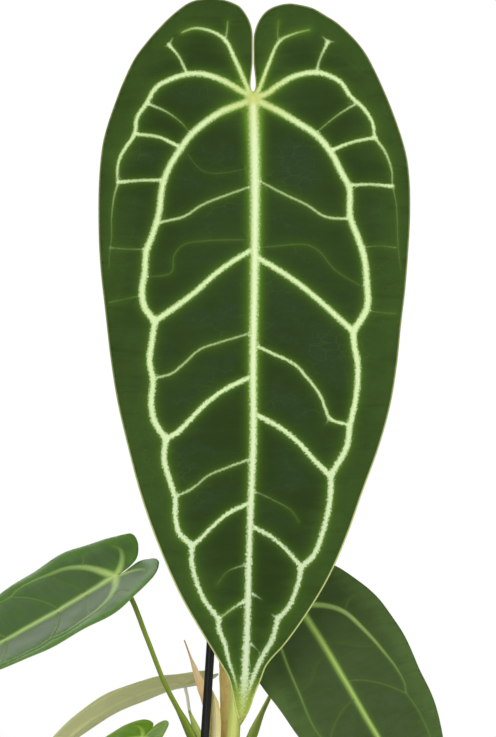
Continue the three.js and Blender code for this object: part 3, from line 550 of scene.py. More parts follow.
def leaf_surface(pose):
    """Maps flat points and a lift above the blade, in millimetres, into space."""
    down = unit(np.array(pose["axis"], float))
    out = np.array(pose["face"], float)
    out = unit(out - down * out.dot(down))
    side = np.cross(out, down)
    turn = (pose["slope"][1] - pose["slope"][0]) / (LENGTH + LOBES)
    at_junction = pose["slope"][0] + turn * LOBES

    def middle(t, s):
        share = np.clip(s / LENGTH, 0, 1)
        edge = np.abs(t) / HALF_WIDTH
        spine = s * (at_junction + turn * s / 2)
        fold = (np.hypot(t, 4) - 4) * lerp(*pose["fold"], share ** 2)
        ripple = pose["wave"] * np.sin(share * pose["waves"] * TAU + np.sign(t)) * edge ** 3
        in_lobe = np.clip(-s / LOBES, 0, None) ** 2
        lobe_curl = lerp(*pose.get("curl", (0, 0)), smooth(t, -8, 8)) * in_lobe
        rise = spine + fold - pose["droop"] * edge ** 2 + ripple + lobe_curl
        drawn = np.where(t < 0, *pose.get("pinch", (0, 0))) * in_lobe
        across = t - drawn * (t - np.sign(t) * LOBE_MIDDLE[0])
        along = s - 0.4 * drawn * (s - LOBE_MIDDLE[1])
        place = along[:, None] * down + across[:, None] * side + rise[:, None] * out
        return np.array(pose["junction"], float) + place * pose["scale"]

    def surface(flat, lift):
        t, s = np.asarray(flat, float).T
        lengthwise = middle(t, s + 0.5) - middle(t, s - 0.5)
        sideways = middle(t + 0.5, s) - middle(t - 0.5, s)
        return middle(t, s) + unit(np.cross(lengthwise, sideways)) * np.asarray(lift, float).reshape(-1, 1)

    return surface


def leaf_relief(fields, flat, size):
    """How far both faces stand off the blade's middle sheet, in millimetres, and the quilt between veins."""
    edge, width = fields["edge"], fields["width"]
    away = edge + width
    rib = smooth(width, 0.3, 1.3) * np.clip(1 - (away / np.maximum(width * 1.7, 0.6)) ** 2, 0, 1)
    midrib = np.clip(1 - (fields["mid"] / 1.45) ** 2, 0, 1) ** 0.8 * smooth(LENGTH - flat[:, 1], 2, 60)
    midrib = midrib * (1 - smooth(flat[:, 1], -2, -8))
    top = size * np.maximum(RIB_TOP * rib, MIDRIB_TOP * midrib)
    under = size * np.maximum(RIB_UNDER * rib, MIDRIB_UNDER * midrib)
    quilt = 0.55 * (1 - np.exp(-np.maximum(edge, 0) / 7)) - 0.25 * np.exp(-((edge - 1.2) / 1.2) ** 2)
    quilt = quilt * smooth(fields["rim"], 0, 9)
    swell = np.array([noise.noise((t * 0.035, s * 0.035, 3.1)) for t, s in flat])
    quilt = quilt + 0.7 * swell * smooth(fields["rim"], 0, 12)
    return top, under, quilt * size


def make_leaf(name, plan, material):
    flat, triangles, fields = plan
    pose = LEAVES[name]
    surface = leaf_surface(pose)
    top, under, quilt = leaf_relief(fields, flat, pose["scale"] ** 0.5)
    thin = lerp(MARGIN_HALF, BLADE_HALF, smooth(fields["rim"], 0, 6)) * lerp(0.8, 1, pose["scale"])
    upper = surface(flat, thin + top + quilt)
    lower = surface(flat, -thin - under + quilt)
    count = len(flat)
    # The upper side is where along x across points, so it takes the plan's triangles the other way round.
    front = triangles[:, ::-1]
    faces = [tuple(f) for f in front] + [tuple(f + count) for f in triangles]
    sides = dict.fromkeys((int(f[k]), int(f[k - 2])) for f in front for k in range(3))
    faces += [(b, a, a + count, b + count) for a, b in sides if (b, a) not in sides]
    side = np.repeat((1.0, -1.0), count)
    twice = {key: np.tile(values, 2) for key, values in fields.items()}
    data = {
        "plan": np.column_stack([np.tile(flat, (2, 1)), side * FACES_APART]),
        "vein": np.column_stack([twice["edge"], twice["width"], twice["mid"]]),
        "blade": np.column_stack([twice["halo"], twice["rim"], side]),
    }
    make_piece(name + "_blade", np.vstack([upper, lower]), faces, material, [name], data)


def leaf_material(name, rough, gloss, ragged, blur, faint, full, fade, tones):
    """A blade with cloudy cells between pale veins that glow into it, a lighter margin, and a matt underside.

    ragged: how far the veins' edges wander near the base and near the tip, in millimetres of noise
    blur: half the width of a vein's soft edge, near base and tip, as a share of the vein's half width
    faint, full, fade: how much of the finest veins shows, the half width from which a vein shows in full,
    and how steeply it fades in between
    """
    f = Finish(name)
    tones = {key: rgb(*tone) for key, tone in tones.items()}
    across, along, _, plan = f.field("plan")
    edge, width, mid, _ = f.field("vein")
    halo, rim, side, _ = f.field("blade")
    cloud = f.noise(plan, 0.028, 4, 0.65, 0.6)
    grain = f.noise(plan, 0.9, 4, 0.7)
    ripple = f.noise(f.scaled(plan, (0.022, 0.13, 1)), 1.0, 3, 0.55, 0.8)
    ribbing = f.ramp(rim, 34, 14, 0.1, 0.36)
    net = f.cells(f.scaled(plan, (1, 1.9, 1)), 0.12, "DISTANCE_TO_EDGE")
    netline = f.ramp(net, 0.05, 0)
    # cells: olive beside the veins, bluer in the middle, lighter and ribbed at the margin, with a fine net
    colour = f.paint(
        tones["cell"],
        (f.ramp(f.noise(plan, 0.014), 0.35, 0.65), tones["soft"]),
        (f.times(f.times(f.ramp(cloud, 0.42, 0.62), f.ramp(edge, 2, 12)), 0.75), tones["patch"]),
        (f.times(f.ramp(rim, 30, 2), f.ramp(cloud, 0.3, 0.6, 0.55, 1)), tones["margin"]),
        (f.times(f.ramp(ripple, 0.46, 0.6), ribbing), tones["margin"]),
        (f.times(f.ramp(ripple, 0.46, 0.32), ribbing), tones["cell"]),
        (f.ramp(grain, 0.35, 0.75, 0, 0.14), tones["margin"]),
        (f.times(netline, f.ramp(cloud, 0.45, 0.7, 0, 0.13)), tones["halo"]))
    # halo, stronger round the petiole's junction, with a wide faint glow below it
    reach = f.math("POWER", f.plus(f.times(across, across), f.times(along, along)), 0.5)
    base = f.ramp(reach, 34, 6)
    glow = f.times(f.math("EXPONENT", f.times(edge, -1 / HALO_REACH)), halo)
    glow = f.times(f.times(glow, f.ramp(grain, 0.2, 0.8, 1.55, 2.3)), f.plus(base, 1))
    glow = f.plus(glow, f.times(f.ramp(edge, 9, 0.5, 0, 0.16), f.math("MINIMUM", halo, 1)))
    # the vein itself with its wandering edge
    wander = f.math("SUBTRACT", f.noise(plan, 0.75, 5, 0.78), 0.5)
    wander = f.times(f.times(wander, f.ramp(along, 60, 330, *ragged)), f.ramp(width, 0.2, 1.2, 0.4, 1))
    soft_edge = f.math("MULTIPLY_ADD", width, f.ramp(along, 60, 260, *blur), 0.3)
    line = f.ramp(f.math("DIVIDE", f.plus(edge, wander), soft_edge), 1, -1)
    line = f.times(line, f.math("POWER", f.ramp(width, 0.1, full, faint, 1), fade))
    streak = f.noise(f.scaled(plan, (0.9, 0.12, 1)), 1.0, 3, 0.6)
    inner = f.paint(
        tones["vein"],
        (f.ramp(streak, 0.3, 0.7, 0, 0.5), tones["core"]),
        (f.times(base, 0.5), tones["knot"]),
        (f.ramp(mid, 0.7, 0.1, 0, 0.8), tones["core"]),
        (f.ramp(along, 120, 330, 0, 0.7), tones["low_vein"]))
    under = f.paint(
        tones["under"],
        (f.ramp(cloud, 0.35, 0.65, 0, 0.5), tones["under_vein"]),
        (f.times(netline, 0.3), tones["under_vein"]),
        (f.ramp(edge, 0.7, -0.6), tones["under_vein"]))
    # then the petiole's junction, the yellow end, the margin line, the brown point and the underside
    ending = f.plus(along, f.times(wander, 8))
    colour = f.paint(
        colour,
        (f.math("MINIMUM", glow, 0.92), tones["halo"]),
        (line, inner),
        (f.ramp(reach, 6, 1.5, 0, 0.7), tones["knot"]),
        (f.ramp(ending, 334, 356, 0, 0.85), tones["end"]),
        (f.times(f.ramp(rim, 1.1, 0.35), f.ramp(along, 120, 260, 0.35, 0.82)), tones["rim"]),
        (f.ramp(ending, 360, 366, 0, 0.8), rgb(136, 108, 52)),
        (f.ramp(side, 0.3, -0.3), under))
    f.set("Roughness", f.plus(f.math("MULTIPLY_ADD", grain, 0.12, rough - 0.06), f.times(line, 0.06)))
    f.set("Specular IOR Level", gloss)
    height = f.plus(f.times(grain, 0.35), f.times(f.noise(plan, 3.2, 2, 0.6), 0.25))
    height = f.plus(height, f.times(f.ramp(net, 0.12, 0), -0.2))
    return f.done(colour, f.plus(height, f.times(line, 0.5)), 0.35, 0.25)


# Petioles: radii along the stalk, points, the tones low, high, top, fleck and a painted shading tone down one
# flank (painted light on most stalks, painted shade on the main one), and that flank's side.
PETIOLES = {
    "main": dict(
        radii=[3.9, 4, 3.4, 3, 2.9, 2.9, 3.1, 3.3, 3.2, 2.9],
        points=[(3, 3, 132), (6.4, 1.5, 160), (8.5, 1, 205), (10.5, 2.5, 300), (14, 3.5, 400), (17, 3, 470),
                (18.3, 0, 508)],
        tones=[(222, 230, 128), (214, 226, 118), (186, 194, 106), (232, 236, 156), (142, 164, 54)],
        painted_shading_side=1),
    "left": dict(
        radii=[3, 3.2, 2.9, 2.3, 1.6, 1.4, 1.4, 1.5, 1.6, 1.4],
        points=[(-2, 3, 122), (-9.3, 1.8, 142), (-17.9, -1, 158.5), (-22.4, -2.6, 168), (-26, -4, 175),
                (-33.8, -7.5, 190.4), (-44.3, -12, 217.7), (-54.5, -14.5, 243)],
        tones=[(98, 126, 4), (112, 134, 34), (122, 150, 60), (120, 144, 42), (146, 164, 60)], painted_shading_side=1),
    "right": dict(
        radii=[3, 3.2, 2.9, 1.6, 1.1, 1.3, 1.5, 1.7, 1.5],
        points=[(6, 6, 128), (12.6, 10, 146), (18.4, 15, 160), (23.3, 19, 171), (29.2, 25, 183),
                (38, 34.5, 209), (42.5, 38.5, 225)],
        tones=[(130, 152, 52), (132, 154, 62), (132, 156, 72), (152, 170, 82), (186, 202, 120)],
        painted_shading_side=-1),
    "arched": dict(
        radii=[2.2, 2, 1.4, 0.9, 0.9, 1, 0.9],
        points=[(1, 8, 126), (-7, 17, 143), (-15, 26, 157), (-19.8, 32.5, 170), (-21.4, 35, 179.5)],
        tones=[(176, 188, 116), (228, 230, 216), (176, 184, 136), (232, 234, 222), (236, 238, 226)],
        painted_shading_side=1),
    "young": dict(
        radii=[1.9, 1.8, 1.3, 1, 1, 1.1, 1],
        points=[(2, -1, 112), (-8, -11.5, 124), (-24, -18.5, 138), (-38, -22.5, 151), (-44.5, -23.7, 156.5)],
        tones=[(140, 168, 52), (148, 176, 58), (176, 190, 80), (166, 188, 74), (156, 180, 66)], painted_shading_side=1),
}


# How many steps the rounded end of a bar has, and how far it bulges, as a share of the radius.
END_RINGS, END_BULGE = 5, 0.8


def bar(points, radii, sides, step, groove, knobs):
    """Rings along a smooth path, with a rounded far end. Returns points, faces and a field.

    The field holds millimetres along the bar, the turn from 0 to 1 and the place from 0 to 1. knobs gives a
    factor on the radius for a length, a place and an angle.
    """
    path, places = smooth_path(points, step)
    radius = along_list(radii, places)
    heading = unit(np.gradient(path, axis=0))
    normal = unit(np.cross(heading[0], (0.0, 1.0, 0.3)))
    run = lengths_along(path)
    angles = np.linspace(0, TAU, sides, endpoint=False)
    furrow = 1 - groove * np.exp(-((angles - TAU / 4) / 0.35) ** 2)
    rings, field = [], []
    for i in range(len(path)):
        normal = unit(normal - heading[i] * normal.dot(heading[i]))
        other = np.cross(heading[i], normal)
        r = radius[i] * furrow * [knobs(run[i], places[i], a) for a in angles]
        spoke = np.cos(angles)[:, None] * normal + np.sin(angles)[:, None] * other
        rings.append(path[i] + r[:, None] * spoke)
        field.append(np.column_stack([np.full(sides, run[i]), angles / TAU, np.full(sides, places[i])]))
    last = rings[-1]
    for k in range(1, END_RINGS):
        a = k / END_RINGS * TAU / 4
        drawn_in = path[-1] + (last - path[-1]) * math.cos(a)
        rings.append(drawn_in + heading[-1] * math.sin(a) * radius[-1] * END_BULGE)
        field.append(field[-1])
    return np.vstack(rings), quads(len(rings), sides) + ends(len(rings), sides), np.vstack(field)


def petiole_material(name, tones, painted_shading_side):
    """A smooth stalk from one green to the next, with painted light and shade down one flank in another
    green: left for -1, right for 1.
    """
    low, high, top, fleck, painted_flank_shading = (rgb(*tone) for tone in tones)
    f = Finish(name, Roughness=0.46, Specular_IOR_Level=0.25, Subsurface_Weight=0.08,
               Subsurface_Radius=(0.4, 0.8, 0.2), Subsurface_Scale=0.001)
    _, around, share, _ = f.field("bar")
    grain = f.noise(f.scaled(f.place(), (900, 900, 60)), 1.0, 4, 0.6)
    cloud = f.noise(f.place(), 45)
    leftward = f.math("COSINE", f.times(around, TAU))
    # painted shading down one flank: a lighter green as painted light on most stalks, a darker green as
    # painted shade on the main stalk
    beside = f.ramp(f.times(leftward, -painted_shading_side), 0.1, 0.75)
    colour = f.paint(
        low,
        (f.ramp(share, 0, 0.45), high),
        (f.ramp(share, 0.9, 0.97), top),
        # the painted light and shade coat on that flank
        (f.times(beside, f.ramp(cloud, 0.3, 0.6, 0.6, 1)), painted_flank_shading),
        (f.ramp(cloud, 0.4, 0.7, 0, 0.35), fleck),
        (f.ramp(grain, 0.45, 0.7, 0, 0.3), fleck))
    return f.done(colour, f.plus(grain, f.times(cloud, 0.8)), 0.3, 0.2)


def make_petiole(key):
    spec = PETIOLES[key]
    name = key + "_petiole"
    pose = LEAVES[key + "_leaf"]
    # the stalk ends under the blade's midrib
    depth = 0.9 + MIDRIB_UNDER * pose["scale"] ** 0.5
    before, end = (leaf_surface(pose)([(0, 0)], -depth - more)[0] for more in (2.2, 0.9))
    knobs = lambda run, share, a: (
        1 + 0.025 * math.sin(5 * a + run * 0.02) + 0.07 * math.exp(-((share - 0.93) / 0.03) ** 2))
    points = [*spec["points"], tuple(before), tuple(end)]
    points, faces, field = bar(points, spec["radii"], sides=24, step=1.5, groove=0.1, knobs=knobs)
    material = petiole_material(name + "_skin", spec["tones"], spec["painted_shading_side"])
    make_piece(name + "_skin", points, faces, material, [name], {"bar": field})


# Bracts: points, half widths, the side that bulges and how much, and the tones base, tip, stain and vein.
BRACTS = {
    "bract_tall": dict(
        finish="tall_bract", slot="dry_bract", seed=1.3, outward=(-0.4, 0.9, 0), bow=0.5,
        points=[(-5, 8.5, 122), (-6.8, 9, 150), (-9.3, 8.8, 176), (-12.9, 8.4, 187), (-16.2, 8, 196.5),
                (-19.2, 7.8, 205), (-22.7, 7.6, 215)],
        half_widths=[6.5, 4.6, 3.4, 3, 1.9, 0.6, 0.3],
        tones=[(248, 220, 152), (236, 204, 162), (236, 180, 116), (250, 232, 182)]),
    "bract_middle": dict(
        finish="middle_bract", slot="dry_bract", seed=4.1, outward=(-0.1, 1, 0), bow=0.45,
        points=[(0.5, 9.6, 136), (1.3, 10, 158), (1.8, 10, 178), (1.7, 9.6, 202), (2.3, 9, 228)],
        half_widths=[4, 3.8, 3.6, 3.9, 0.4],
        tones=[(246, 222, 146), (240, 204, 138), (214, 170, 104), (250, 234, 170)]),
    "bract_short": dict(
        finish="short_bract", slot="dry_bract", seed=7.7, outward=(-0.4, -0.9, 0), bow=0.5,
        points=[(-7, -1, 112), (-7.4, -1.2, 132), (-5.2, -0.6, 150), (-4.6, 0, 168), (-5.4, 0.4, 178),
                (-6.4, 0.6, 186)],
        half_widths=[6.5, 5.4, 3.2, 3.3, 3, 0.4],
        tones=[(250, 234, 184), (212, 206, 104), (236, 206, 136), (252, 242, 206)]),
    "bract_green": dict(
        finish="fresh_bract", slot="fresh_bract", seed=9.2, outward=(-0.6, 0.8, 0), bow=0.4,
        points=[(-8, 5, 120), (-10, 5.6, 136), (-12.8, 5.6, 150), (-16.2, 4.8, 162), (-20, 4, 173.6)],
        half_widths=[3.4, 3.8, 3.7, 2.9, 0.5],
        tones=[(176, 202, 84), (202, 220, 116), (140, 170, 50), (216, 230, 144)]),
}
# Half a bract's thickness inside and at its edge, and its mesh.
BRACT_HALF, BRACT_RIM_HALF, BRACT_ROWS, BRACT_COLUMNS = 0.22, 0.1, 70, 18


def bract_material(name, tones):
    base, tip, stain, vein = (rgb(*tone) for tone in tones)
    f = Finish(name, Roughness=0.72, Specular_IOR_Level=0.3)
    _, along, _, sheet = f.field("sheet")
    fibre = f.noise(f.scaled(sheet, (9, 1.3, 1)), 1.0, 4, 0.65)
    blot = f.noise(f.place(), 130, 4, 0.6)
    colour = f.paint(
        base,
        (f.ramp(along, 0.1, 0.95), tip),
        (f.ramp(blot, 0.42, 0.66, 0, 0.6), stain),
        (f.ramp(fibre, 0.42, 0.6, 0, 0.65), vein),
        (f.ramp(along, 0.9, 1, 0, 0.6), stain))
    return f.done(colour, f.plus(fibre, f.times(blot, 0.5)), 0.5, 0.35)


def make_bract(name):
    """A thin arched sheet along a smooth path, with torn edges."""
    spec = BRACTS[name]
    seed, rows, columns = spec["seed"], BRACT_ROWS, BRACT_COLUMNS
    path, places = smooth_path(spec["points"], 1.0)
    run = np.linspace(0, 1, rows + 1)
    length = lengths_along(path)
    length /= length[-1]
    centre = np.column_stack([np.interp(run, length, path[:, k]) for k in range(3)])
    half = along_list(spec["half_widths"], np.interp(run, length, places))
    heading = unit(np.gradient(centre, axis=0))
    out = np.array(spec["outward"], float)
    out = unit(out - heading * (heading @ out)[:, None])
    across = np.cross(heading, out)
    upper, lower, sheet = [], [], []
    for i, u in enumerate(run):
        for x in np.linspace(-1, 1, columns + 1):
            torn = noise.noise((x * 0.4 + seed, u * 26, seed))
            reach = half[i] * (1 + 0.1 * torn * (abs(x) > 0.9))
            crimp = 0.28 * noise.noise((x * 3.2, u * 5, seed + 4)) + 0.12 * math.sin(x * 17 + seed)
            bulge = crimp * (0.3 + u) - spec["bow"] * half[i] * x * x
            place = centre[i] + across[i] * x * reach + out[i] * bulge
            fine = lerp(BRACT_HALF, BRACT_RIM_HALF, abs(x) ** 3)
            upper.append(place + out[i] * fine)
            lower.append(place - out[i] * fine)
            sheet.append((x * half[i] * 0.5, u, seed))
    wide = columns + 1
    count = len(upper)
    faces = []
    for a in (i * wide + j for i in range(rows) for j in range(columns)):
        faces.append((a, a + 1, a + wide + 1, a + wide))
        faces.append((a + count, a + wide + count, a + wide + 1 + count, a + 1 + count))
    border = list(range(wide)) + [i * wide + columns for i in range(1, rows + 1)]
    border += [rows * wide + j for j in range(columns - 1, -1, -1)]
    border += [i * wide for i in range(rows - 1, 0, -1)]
    faces += [(b, a, a + count, b + count) for a, b in zip(border, border[1:] + border[:1])]
    make_piece(name + "_sheath", upper + lower, faces, bract_material(spec["finish"], spec["tones"]),
               [name], {"sheet": sheet * 2})


# Stem and roots

# Heights of the scars, the foot and the head, and the middle lines of the roots, in millimetres.
STEM_SCARS = [92, 106, 117, 127, 136]
STEM_FOOT, STEM_HEAD = 72, 147
ROOT_RADII = [2.1, 1.9, 1.7, 1.2]
ROOTS = [
    [(2, 4, 110), (-9, 6, 108), (-18, 10, 99), (-22, 12, 82)],
    [(2, 4, 118), (12, -3, 115), (21, -9, 104), (24, -12, 86)],
    [(2, 4, 110), (14, 11, 109), (24, 18, 100), (28, 21, 84)],
    [(2, 4, 115), (-4, 17, 113), (-7, 27, 103), (-8, 31, 86)],
    [(2, 4, 108), (1, -9, 107), (-1, -19, 98), (-2, -23, 82)],
]


def stem_parts():
    rows, sides = 110, 40
    rings, field = [], []
    for i in range(rows + 1):
        share = i / rows
        z = lerp(STEM_FOOT, STEM_HEAD, share)
        scar = max(math.exp(-((z - level) / 1.6) ** 2) for level in STEM_SCARS)
        notch = max(math.exp(-((z - level - 2.6) / 1.0) ** 2) for level in STEM_SCARS)
        taper = math.sqrt(max(0, 1 - ((share - 0.85) / 0.16) ** 2)) if share > 0.85 else 1
        x, y = 2 + 1.5 * math.sin(share * 3), 4 - 1.5 * share
        for k in range(sides):
            c, s = on_circle(1, k, sides)
            rough = noise.noise((c * 2, s * 2, z * 0.12)) * 0.5 + noise.noise((c * 6, s * 6, z * 0.5)) * 0.25
            r = (8.2 - 1.6 * share + 0.8 * scar - 0.35 * notch + rough) * taper
            rings.append((x + r * c, y + r * s, z))
            field.append((z, k / sides, scar))
    return np.array(rings), quads(rows + 1, sides) + ends(rows + 1, sides), np.array(field)


def root_parts(i):
    knobs = lambda run, share, a: 1 + 0.16 * noise.noise((math.cos(a), math.sin(a) + i, run * 0.35))
    return bar(ROOTS[i], ROOT_RADII, sides=16, step=0.9, groove=0, knobs=knobs)


def stem_material():
    f = Finish("stem_bark", Roughness=0.75, Specular_IOR_Level=0.3)
    _, _, scar, _ = f.field("bar")
    blot = f.noise(f.place(), 190, 5, 0.6)
    fibre = f.noise(f.scaled(f.place(), (700, 700, 120)), 1.0, 4, 0.7)
    colour = f.paint(
        rgb(122, 128, 74),
        (f.ramp(blot, 0.35, 0.65), rgb(150, 126, 84)),
        (f.ramp(fibre, 0.5, 0.72, 0, 0.7), rgb(92, 72, 46)),
        (f.ramp(scar, 0.45, 0.95, 0, 0.75), rgb(170, 138, 96)))
    return f.done(colour, f.plus(fibre, blot), 0.6, 0.6)


# Pot, mix, stake and ties

# In millimetres; step is how far the collar stands out, and drain holes go right through the floor.
POT = dict(height=118, rim=65, collar=14, step=2.6, foot=46, wall=1.9, floor=3)
DRAIN_HOLES, DRAIN_RING, DRAIN_RADIUS, DRAIN_REACH, DRAIN_SIDES = 6, 31, 4.5, (-3, 6), 28
# Rings of points on both sides of the drain holes, and from which angle an edge is sharp.
FLOOR_RINGS, SHARP_DEGREES = (20, 36), 38
SHOULDER, UNDER_COLLAR = POT["height"] - POT["collar"], POT["rim"] - POT["step"] - 0.6


def pot_profile():
    """Radius and height from the foot up the outside, over the rim, and down the inside to the floor."""
    h, shoulder, under = POT["height"], SHOULDER, UNDER_COLLAR
    wall, floor, foot, rim = POT["wall"], POT["floor"], POT["foot"], POT["rim"]
    half_way = lerp(foot, under, 0.5)
    corners = [
        (foot - 1.5, 0), (foot, 1.5), (lerp(foot, under, 0.08), 9), (half_way, shoulder * 0.5),
        (under - 0.9, shoulder - 8), (under, shoulder - 0.2), (under + 0.5, shoulder),
        (rim - 0.7, shoulder + 0.2), (rim - 0.35, shoulder + 0.8), (rim - 0.1, shoulder + 6), (rim, h - 1.6),
        (rim - 0.25, h - 0.6), (rim - 0.8, h), (rim - wall + 0.4, h), (rim - wall - 0.1, h - 0.5),
        (rim - wall - 0.35, h - 1.4), (under - wall + 0.3, shoulder + 0.5), (half_way - wall, shoulder * 0.5),
        (foot - wall + 0.4, floor + 3), (foot - wall - 1.2, floor),
    ]
    line = []
    for a, b in zip(corners, corners[1:]):
        steps = int(math.dist(a, b) // 8) + 1
        line += [(lerp(a[0], b[0], k / steps), lerp(a[1], b[1], k / steps)) for k in range(steps)]
    return line + corners[-1:]


def make_pot():
    sides, floor = 120, POT["floor"]
    inner, outer = FLOOR_RINGS
    line = [(inner, 0), (outer, 0)] + pot_profile() + [(outer, floor), (inner, floor)]
    points = [(*on_circle(r, k, sides), z) for r, z in line for k in range(sides)]
    count = len(points)
    faces = quads(len(line), sides)
    for k in range(sides):
        m = (k + 1) % sides
        faces += [(count, m, k), (count - sides + k, count - sides + m, count + 1)]
    pot = mesh_object("pot_shell", points + [(0, 0, 0), (0, 0, floor)], faces)
    hole = [on_circle(DRAIN_RADIUS, k, DRAIN_SIDES) for k in range(DRAIN_SIDES)]
    drills = []
    for k in range(DRAIN_HOLES):
        x, y = on_circle(DRAIN_RING, k, DRAIN_HOLES)
        rings = np.array([(x + c, y + s, z) for z in DRAIN_REACH for c, s in hole])
        drills.append((rings, quads(2, DRAIN_SIDES) + ends(2, DRAIN_SIDES), rings))
    rings, faces, _ = joined(drills)
    tool = mesh_object("drill", rings, faces)
    cut = pot.modifiers.new("holes", "BOOLEAN")
    cut.operation, cut.object, cut.solver = "DIFFERENCE", tool, "EXACT"
    bpy.context.view_layer.update()
    solid = bpy.data.meshes.new_from_object(pot.evaluated_get(bpy.context.evaluated_depsgraph_get()))
    pot.modifiers.clear()
    used = (tool.data, pot.data)
    pot.data = solid
    solid.name = "pot_shell"
    bpy.data.objects.remove(tool)
    for mesh in used:
        bpy.data.meshes.remove(mesh)
    solid.polygons.foreach_set("use_smooth", [True] * len(solid.polygons))
    solid.materials.clear()
    solid.materials.append(pot_material())
    solid.set_sharp_from_angle(angle=math.radians(SHARP_DEGREES))
    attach(pot, BODY)
    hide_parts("pot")


def pot_material():
    f = Finish("pot_plastic", Specular_IOR_Level=0.45)
    place = f.place()
    z = f.split(place)[2]
    smear = f.noise(f.scaled(place, (60, 60, 14)), 1.0, 4, 0.6)
    dust = f.noise(place, 85, 5, 0.65)
    rim_dust = f.times(f.ramp(z, 0.108, 0.118), f.ramp(dust, 0.45, 0.7, 0, 0.5))
    low_dust = f.times(f.ramp(z, 0.03, 0), f.ramp(dust, 0.4, 0.66, 0, 0.5))
    colour = f.paint(
        rgb(40, 41, 43),
        (f.ramp(smear, 0.35, 0.7), rgb(52, 53, 54)),
        (f.math("MAXIMUM", rim_dust, low_dust), rgb(118, 106, 88)))
    f.set("Roughness", f.ramp(smear, 0.3, 0.7, 0.42, 0.58))
    rings = f.math("SINE", f.times(z, 5200))
    return f.done(colour, f.plus(f.times(rings, 0.12), f.noise(place, 1400, 3, 0.6)), 0.22, 0.12)


def inside_radius(z):
    span = SHOULDER + 0.5 - POT["floor"]
    return lerp(POT["foot"] - POT["wall"], UNDER_COLLAR - POT["wall"] + 0.3, (z - POT["floor"]) / span)


# In millimetres: the mix's height, how far out crumbs, chips and bed reach, and the gap round the bed.
MIX_LEVEL, MIX_RADIUS, CHIP_RADIUS, BED_RADIUS, BED_GAP = 101, 57, 51, 58.6, 0.6
# Chips made, crumbs tried, and how far out the edges of crumbs and grains may lie.
CHIPS, CRUMBS, CRUMB_EDGE, GRAIN_EDGE = 34, 330, 58.2, 58.4
STEM_AT = (2, 4)
# A linear congruential generator, as in the solid.
DRAW_FACTOR, DRAW_STEP, DRAW_RANGE = 1664525, 1013904223, 4294967296


def mix_surface(x, y):
    r = math.hypot(x, y)
    dome = 3.5 * math.exp(-((r / 26) ** 2)) - 2 * (r / 55) ** 4
    ripple = 0.9 * math.sin(x * 0.21 + 1) * math.cos(y * 0.18) + 0.6 * math.sin(x * 0.11 - y * 0.25)
    return MIX_LEVEL + dome + ripple


def seeded_draw(state):
    """Numbers from 0 to 1, the same as in the solid."""
    while True:
        state = (state * DRAW_FACTOR + DRAW_STEP) % DRAW_RANGE
        yield state / DRAW_RANGE


def chunk(size, turn, at, rough, seed, detail, taper):
    """A weathered lump: a rounded block, pushed in and out by noise."""
    bm = bmesh.new()
    bmesh.ops.create_cube(bm, size=1.0)
    bmesh.ops.subdivide_edges(bm, edges=bm.edges, cuts=detail, use_grid_fill=True)
    points = []
    for v in bm.verts:
        p = v.co.lerp(v.co.normalized() * 0.62, 0.35)
        p = Vector((p.x * size[0], p.y * size[1] * lerp(1, taper, p.x + 0.5), p.z * size[2]))
        push = [noise.noise((p.x * 0.22 + seed, p.y * 0.22 + k * 9.1, p.z * 0.22)) for k in range(3)]
        p += Vector(push) * rough
        points.append(turn @ p + Vector(at))
    faces = [tuple(v.index for v in f.verts) for f in bm.faces]
    bm.free()
    return np.array([tuple(p) for p in points]), faces


def turn_of(x, y, z):
    return Matrix.Rotation(z, 3, "Z") @ Matrix.Rotation(y, 3, "Y") @ Matrix.Rotation(x, 3, "X")


def bark_parts():
    """The large chips where the solid has them, and crumbs of bark between them."""
    parts = []
    draw = seeded_draw(41)
    between = lambda low, high: lerp(low, high, next(draw))
    for i in range(CHIPS):
        r = CHIP_RADIUS * math.sqrt((i + 0.5) / CHIPS)
        angle = i * GOLDEN_ANGLE
        x = r * math.cos(angle) + 2 * next(draw)
        y = r * math.sin(angle) + 2 * next(draw)
        size = (between(11, 20), between(7, 12), between(3.5, 6))
        taper = 0.55 + 0.3 * next(draw)
        tilt_x, tilt_y, spin = (next(draw) - 0.5) * 0.7, (next(draw) - 0.5) * 0.9, next(draw) * TAU
        z = mix_surface(x, y) + 0.6 + next(draw)
        parts.append(dict(size=size, turn=turn_of(tilt_x, tilt_y, spin), at=(x, y, z), rough=1.6,
                          seed=i * 3.7, detail=4, taper=taper))
    rng = random.Random(5)
    for i in range(CRUMBS):
        r = MIX_RADIUS * math.sqrt(rng.random())
        a = rng.random() * TAU
        x, y = r * math.cos(a), r * math.sin(a)
        long = rng.uniform(4, 11)
        size = (long, long * rng.uniform(0.45, 0.8), long * rng.uniform(0.25, 0.5))
        if r + long * 0.5 > CRUMB_EDGE or math.dist((x, y), STEM_AT) < 9 + long * 0.4:
            continue
        z = mix_surface(x, y) + rng.uniform(-0.6, 1.6)
        turn = turn_of(rng.uniform(-0.6, 0.6), rng.uniform(-0.6, 0.6), rng.random() * TAU)
        parts.append(dict(size=size, turn=turn, at=(x, y, z), rough=1.1, seed=200 + i, detail=2, taper=0.8))
    made = []
    for k, spec in enumerate(parts):
        points, faces = chunk(**spec)
        made.append((points, faces, np.tile(((k * 0.618) % 1, (k * 0.377) % 1, 0.0), (len(points), 1))))
    return joined(made)


def grit_parts(seed, number, low, high, lift):
    rng = random.Random(seed)
    made = []
    for i in range(number):
        r, a = MIX_RADIUS * math.sqrt(rng.random()), rng.random() * TAU
        x, y = r * math.cos(a), r * math.sin(a)
        size = rng.uniform(low, high)
        if math.dist((x, y), STEM_AT) < 10 or r + size > GRAIN_EDGE:
            continue
        turn = turn_of(rng.random() * 3, rng.random() * 3, rng.random() * 3)
        sizes = (size, size * rng.uniform(0.7, 1), size * rng.uniform(0.6, 0.95))
        at = (x, y, mix_surface(x, y) + rng.uniform(*lift))
        points, faces = chunk(sizes, turn, at, rough=0.5, seed=700 + i, detail=2, taper=0.9)
        made.append((points, faces, np.tile((rng.random(), rng.random(), 1.0), (len(points), 1))))
    return joined(made)


